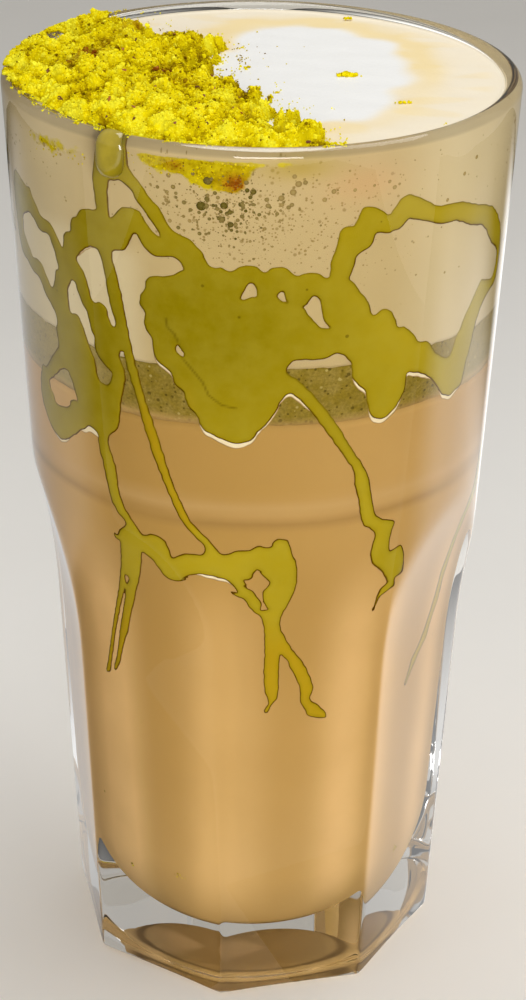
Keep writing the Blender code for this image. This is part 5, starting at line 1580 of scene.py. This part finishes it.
def build_drop(settings):
    """A hanging drop: flattened half-round sections along a path over the lip and down.

    The path is a quarter circle round the lip and then a straight line down. Width and
    bulge grow along it and close with the square root of 1 minus a high power.
    """
    standoff = LIP_RADIUS + 0.05 * MM
    arc = standoff * math.pi / 2
    straight = LIP_CENTRE_HEIGHT - DROP_END
    part = np.linspace(0.02, 0.995, 56)[:, None]
    along = part * (arc + straight)
    turn = np.clip(math.pi / 2 * (1 - along / arc), 0, None)
    down = np.clip(along - arc, 0, None)
    radius = LIP_MIDDLE_RADIUS + standoff * np.cos(turn) - BAND_TAPER * down
    height = LIP_CENTRE_HEIGHT + standoff * np.sin(turn) - down
    section = np.linspace(0, TAU, 40, endpoint=False)[None, :]
    width = DROP_HALF_WIDTH * np.minimum(1, 0.66 + 0.9 * part) * np.sqrt(1 - part**7)
    bulge = DROP_BULGE * (0.25 + 0.75 * part**1.4) * np.sqrt(1 - part**9)
    aside = width * np.cos(section)
    lift = bulge * np.clip(np.sin(section), -0.05, None)
    rings = polar(DROP_ANGLE + aside / radius, radius + lift * np.cos(turn),
                  height + lift * np.sin(turn))
    points, faces = closed_loft(rings)
    # Depth sets the drop's painted shade: 1 along the middle of its face, 0 at its sides.
    depth = np.clip(np.sin(section), 0, 1) ** 0.7 * np.sqrt(1 - part**8)
    depth = np.concatenate([depth.ravel(), [0.3, 0.0]])
    return put_mesh("hanging_drop", points, faces, drop_material(settings),
                    values={"depth": depth})


# ------------------------------------------------------------------ operators

class LATTE_OT_tumbler(bpy.types.Operator):
    """Build the clear eight-sided tumbler"""
    bl_idname = "latte.tumbler"
    bl_label = "Tumbler"

    def execute(self, context):
        settings = context.scene.latte_tumbler
        points, faces = closed_loft(tumbler_rings(settings))
        # The lip and back attributes place the lip's painted shade, lighter at the back.
        lip = smooth_step(160.6 * MM, 161.0 * MM, points[:, 2])
        back = smooth_step(-0.85, -0.15, points[:, 1] / np.hypot(points[:, 0], points[:, 1]))
        piece = put_mesh("faceted_tumbler", points, faces, glass_material(settings),
                         values={"lip": lip, "back": back})
        dress(piece, "clear_glass", "glass_tumbler")
        return {"FINISHED"}


class LATTE_OT_drink(bpy.types.Operator):
    """Build the latte, the nut band, the foam and its top"""
    bl_idname = "latte.drink"
    bl_label = "Drink"

    def execute(self, context):
        settings = context.scene.latte_drink
        dress(build_latte_body(settings), "latte", "coffee_milk")
        dress(build_nut_layer(settings), "ground_nuts", "ground_nut_band")
        dress(build_foam_body(settings), "milk_foam", "milk_foam")
        dress(build_foam_top(settings), "milk_foam", "milk_foam")
        dress(build_bubbles(settings), "milk_foam")
        return {"FINISHED"}


class LATTE_OT_sauce(bpy.types.Operator):
    """Build the sauce on the wall, the milk film under it and the drop over the lip"""
    bl_idname = "latte.sauce"
    bl_label = "Sauce"

    def execute(self, context):
        settings = context.scene.latte_sauce
        material = sauce_material(settings)
        dress(build_sauce_sheet("sauce_front", material, settings.front_grid, True),
              "pistachio_sauce", "pistachio_sauce")
        dress(build_sauce_sheet("sauce_back", material, settings.back_grid, False),
              "pistachio_sauce", "pistachio_sauce")
        dress(build_milk_film(settings), "milk_foam")
        dress(build_drop(settings), "drop_sauce", "sauce_drop")
        return {"FINISHED"}


class LATTE_OT_nuts(bpy.types.Operator):
    """Build the heap of crushed pistachio and its crumbs"""
    bl_idname = "latte.nuts"
    bl_label = "Crushed pistachio"

    def execute(self, context):
        settings = context.scene.latte_nuts
        dress(build_heap_core(settings), "crushed_pistachio", "crushed_pistachio")
        for piece in build_crumbs(settings):
            dress(piece, "crushed_pistachio", "crushed_pistachio")
        return {"FINISHED"}


class LATTE_OT_stage(bpy.types.Operator):
    """Set the floor, the soft lights, the cards and the camera"""
    bl_idname = "latte.stage"
    bl_label = "Stage"

    def execute(self, context):
        settings = context.scene.latte_stage
        build_floor(settings)
        build_lights(settings)
        build_flag()
        build_card("left_card", -1, settings.left_card, 0.28, 0.41)
        build_card("right_card", 1, settings.right_card, 0.11, 0.25)
        build_camera()
        context.scene.view_settings.view_transform = "Standard"
        return {"FINISHED"}


def build_floor(settings):
    """A wide pale floor with a softly raised back, so that no horizon shows."""
    half, rise_from = 3, 1.6
    along = np.concatenate([np.linspace(-half, rise_from, 12),
                            np.linspace(rise_from + 0.1, half, 14)])
    x, y = np.meshgrid(np.linspace(-half, half, 13), along)
    z = 1.4 * np.clip(y - rise_from, 0, None) ** 2 - 0.0002
    put_grid("floor", x, y, z, floor_material(settings))


def put_grid(name, x, y, z, material, fade=None, flipped=False):
    """A sheet over a grid of points, with a fade attribute where one is given."""
    quads = grid_quads(np.arange(x.size).reshape(x.shape))
    if flipped:
        quads = quads[..., ::-1]
    points = np.stack([x, y, np.broadcast_to(z, x.shape)], axis=-1).reshape(-1, 3)
    values = None if fade is None else {"fade": fade.ravel()}
    return put_mesh(name, points, [quads.reshape(-1, 4)], material, values=values)


def area_light(name, place, target, width, height, watts):
    """A soft rectangular light that faces a point."""
    data = bpy.data.lights.new(name, "AREA")
    data.shape = "RECTANGLE"
    data.size = width
    data.size_y = height
    data.energy = watts
    light = bpy.data.objects.new(name, data)
    forward = np.array(target, dtype=float) - np.array(place, dtype=float)
    forward /= np.linalg.norm(forward)
    right = np.cross(forward, (0.0, 0.0, 1.0))
    right /= np.linalg.norm(right)
    light.matrix_world = aimed(place, right, np.cross(right, forward), forward)
    light.visible_camera = False
    bpy.context.scene.collection.objects.link(light)


def aimed(place, right, up, forward):
    """A matrix that looks along forward."""
    return Matrix([[right[i], up[i], -forward[i], place[i]] for i in range(3)] + [[0, 0, 0, 1]])


def build_lights(settings):
    """Soft light all round, from above and from beside the camera."""
    world = bpy.data.worlds.new("soft_surroundings")
    world.use_nodes = True
    background = world.node_tree.nodes["Background"]
    background.inputs["Color"].default_value = (1.0, 0.975, 0.93, 1.0)
    background.inputs["Strength"].default_value = settings.sky
    bpy.context.scene.world = world
    area_light("top_light", (0.08, 0.04, 0.48), (0, 0, 0.16), 0.28, 0.28, settings.top)
    area_light("front_light", (0.06, -1.00, 0.30), (0, 0, 0.06), 0.5, 0.3, settings.front)


def hide_from(piece, *rays):
    """Make a stage piece unseen by the camera, shadow and other kinds of ray."""
    for kind in ("camera", "shadow", *rays):
        setattr(piece, "visible_" + kind, False)


def build_card(name, side, strength, clear_from, clear_to):
    """A bright card lying on the floor beside the glass, fading to its edges.

    The camera doesn't see it; the glass does, in its reflections and through its foot. It
    turns clear from one distance to the next, apart from a wedge behind the glass.
    """
    near, far, front = 0.008, 0.42, -0.06
    x, y = np.meshgrid(np.linspace(near, far, 35), np.linspace(front, far, 37))
    behind = smooth_step(0.7, 0.35, (x - 0.036) / np.maximum(y, 0.02))
    behind = behind * smooth_step(far, 0.34, y)
    fade = smooth_step(near, 0.034, x) * smooth_step(far, 0.26, x) * smooth_step(front, 0.02, y)
    fade = fade * np.maximum(smooth_step(clear_to, clear_from, y), behind)
    card = put_grid(name, side * x, y, -0.0001, card_material(name, strength), fade, side < 0)
    hide_from(card, *(["diffuse"] if side < 0 else []))


def build_flag():
    """A black card in front of the foot that only reflections in the glass see."""
    x, y = np.meshgrid([-0.3, 0.3], np.concatenate([[-0.5], np.linspace(-0.12, -0.034, 12)]))
    flag = put_grid("front_flag", x, y, 0.0005, flag_material(), smooth_step(-0.034, -0.085, y))
    hide_from(flag, "diffuse", "transmission")


def build_camera():
    """The camera, placed by its pitch, yaw and roll."""
    data = bpy.data.cameras.new("view")
    data.lens = CAMERA_LENS_MM
    data.sensor_width = 36.0
    data.clip_start = 0.01
    camera = bpy.data.objects.new("view", data)
    level = math.cos(CAMERA_PITCH)
    forward = np.array([math.sin(CAMERA_YAW) * level, math.cos(CAMERA_YAW) * level,
                        -math.sin(CAMERA_PITCH)])
    right = np.array([math.cos(CAMERA_YAW), -math.sin(CAMERA_YAW), 0.0])
    up = np.cross(right, forward)
    rolled_right = math.cos(CAMERA_ROLL) * right + math.sin(CAMERA_ROLL) * up
    rolled_up = -math.sin(CAMERA_ROLL) * right + math.cos(CAMERA_ROLL) * up
    camera.matrix_world = aimed(CAMERA_PLACE, rolled_right, rolled_up, forward)
    bpy.context.scene.collection.objects.link(camera)
    bpy.context.scene.camera = camera


class LATTE_PT_panel(bpy.types.Panel):
    """Buttons and settings of the latte"""
    bl_idname = "LATTE_PT_panel"
    bl_label = "Pistachio latte"
    bl_space_type = "VIEW_3D"
    bl_region_type = "UI"
    bl_category = "Latte"

    def draw(self, context):
        for name in GROUPS:
            box = self.layout.box()
            box.operator("latte." + name)
            settings = getattr(context.scene, "latte_" + name)
            for label in settings.__annotations__:
                box.prop(settings, label)


# Each operator's settings, in the order in which the operators run
GROUPS = {"tumbler": TumblerSettings, "drink": DrinkSettings, "sauce": SauceSettings,
          "nuts": NutSettings, "stage": StageSettings}
CLASSES = [*GROUPS.values(), LATTE_OT_tumbler, LATTE_OT_drink, LATTE_OT_sauce, LATTE_OT_nuts,
           LATTE_OT_stage, LATTE_PT_panel]


def register():
    """Register the classes and put the settings on the scene."""
    for item in CLASSES:
        bpy.utils.register_class(item)
    for name, group in GROUPS.items():
        setattr(bpy.types.Scene, "latte_" + name, bpy.props.PointerProperty(type=group))


def unregister():
    """Take the settings and classes away again."""
    for name in GROUPS:
        delattr(bpy.types.Scene, "latte_" + name)
    for item in reversed(CLASSES):
        bpy.utils.unregister_class(item)


def main():
    """Build everything in order."""
    register()
    for name in GROUPS:
        getattr(bpy.ops.latte, name)()


if __name__ == "__main__":
    main()
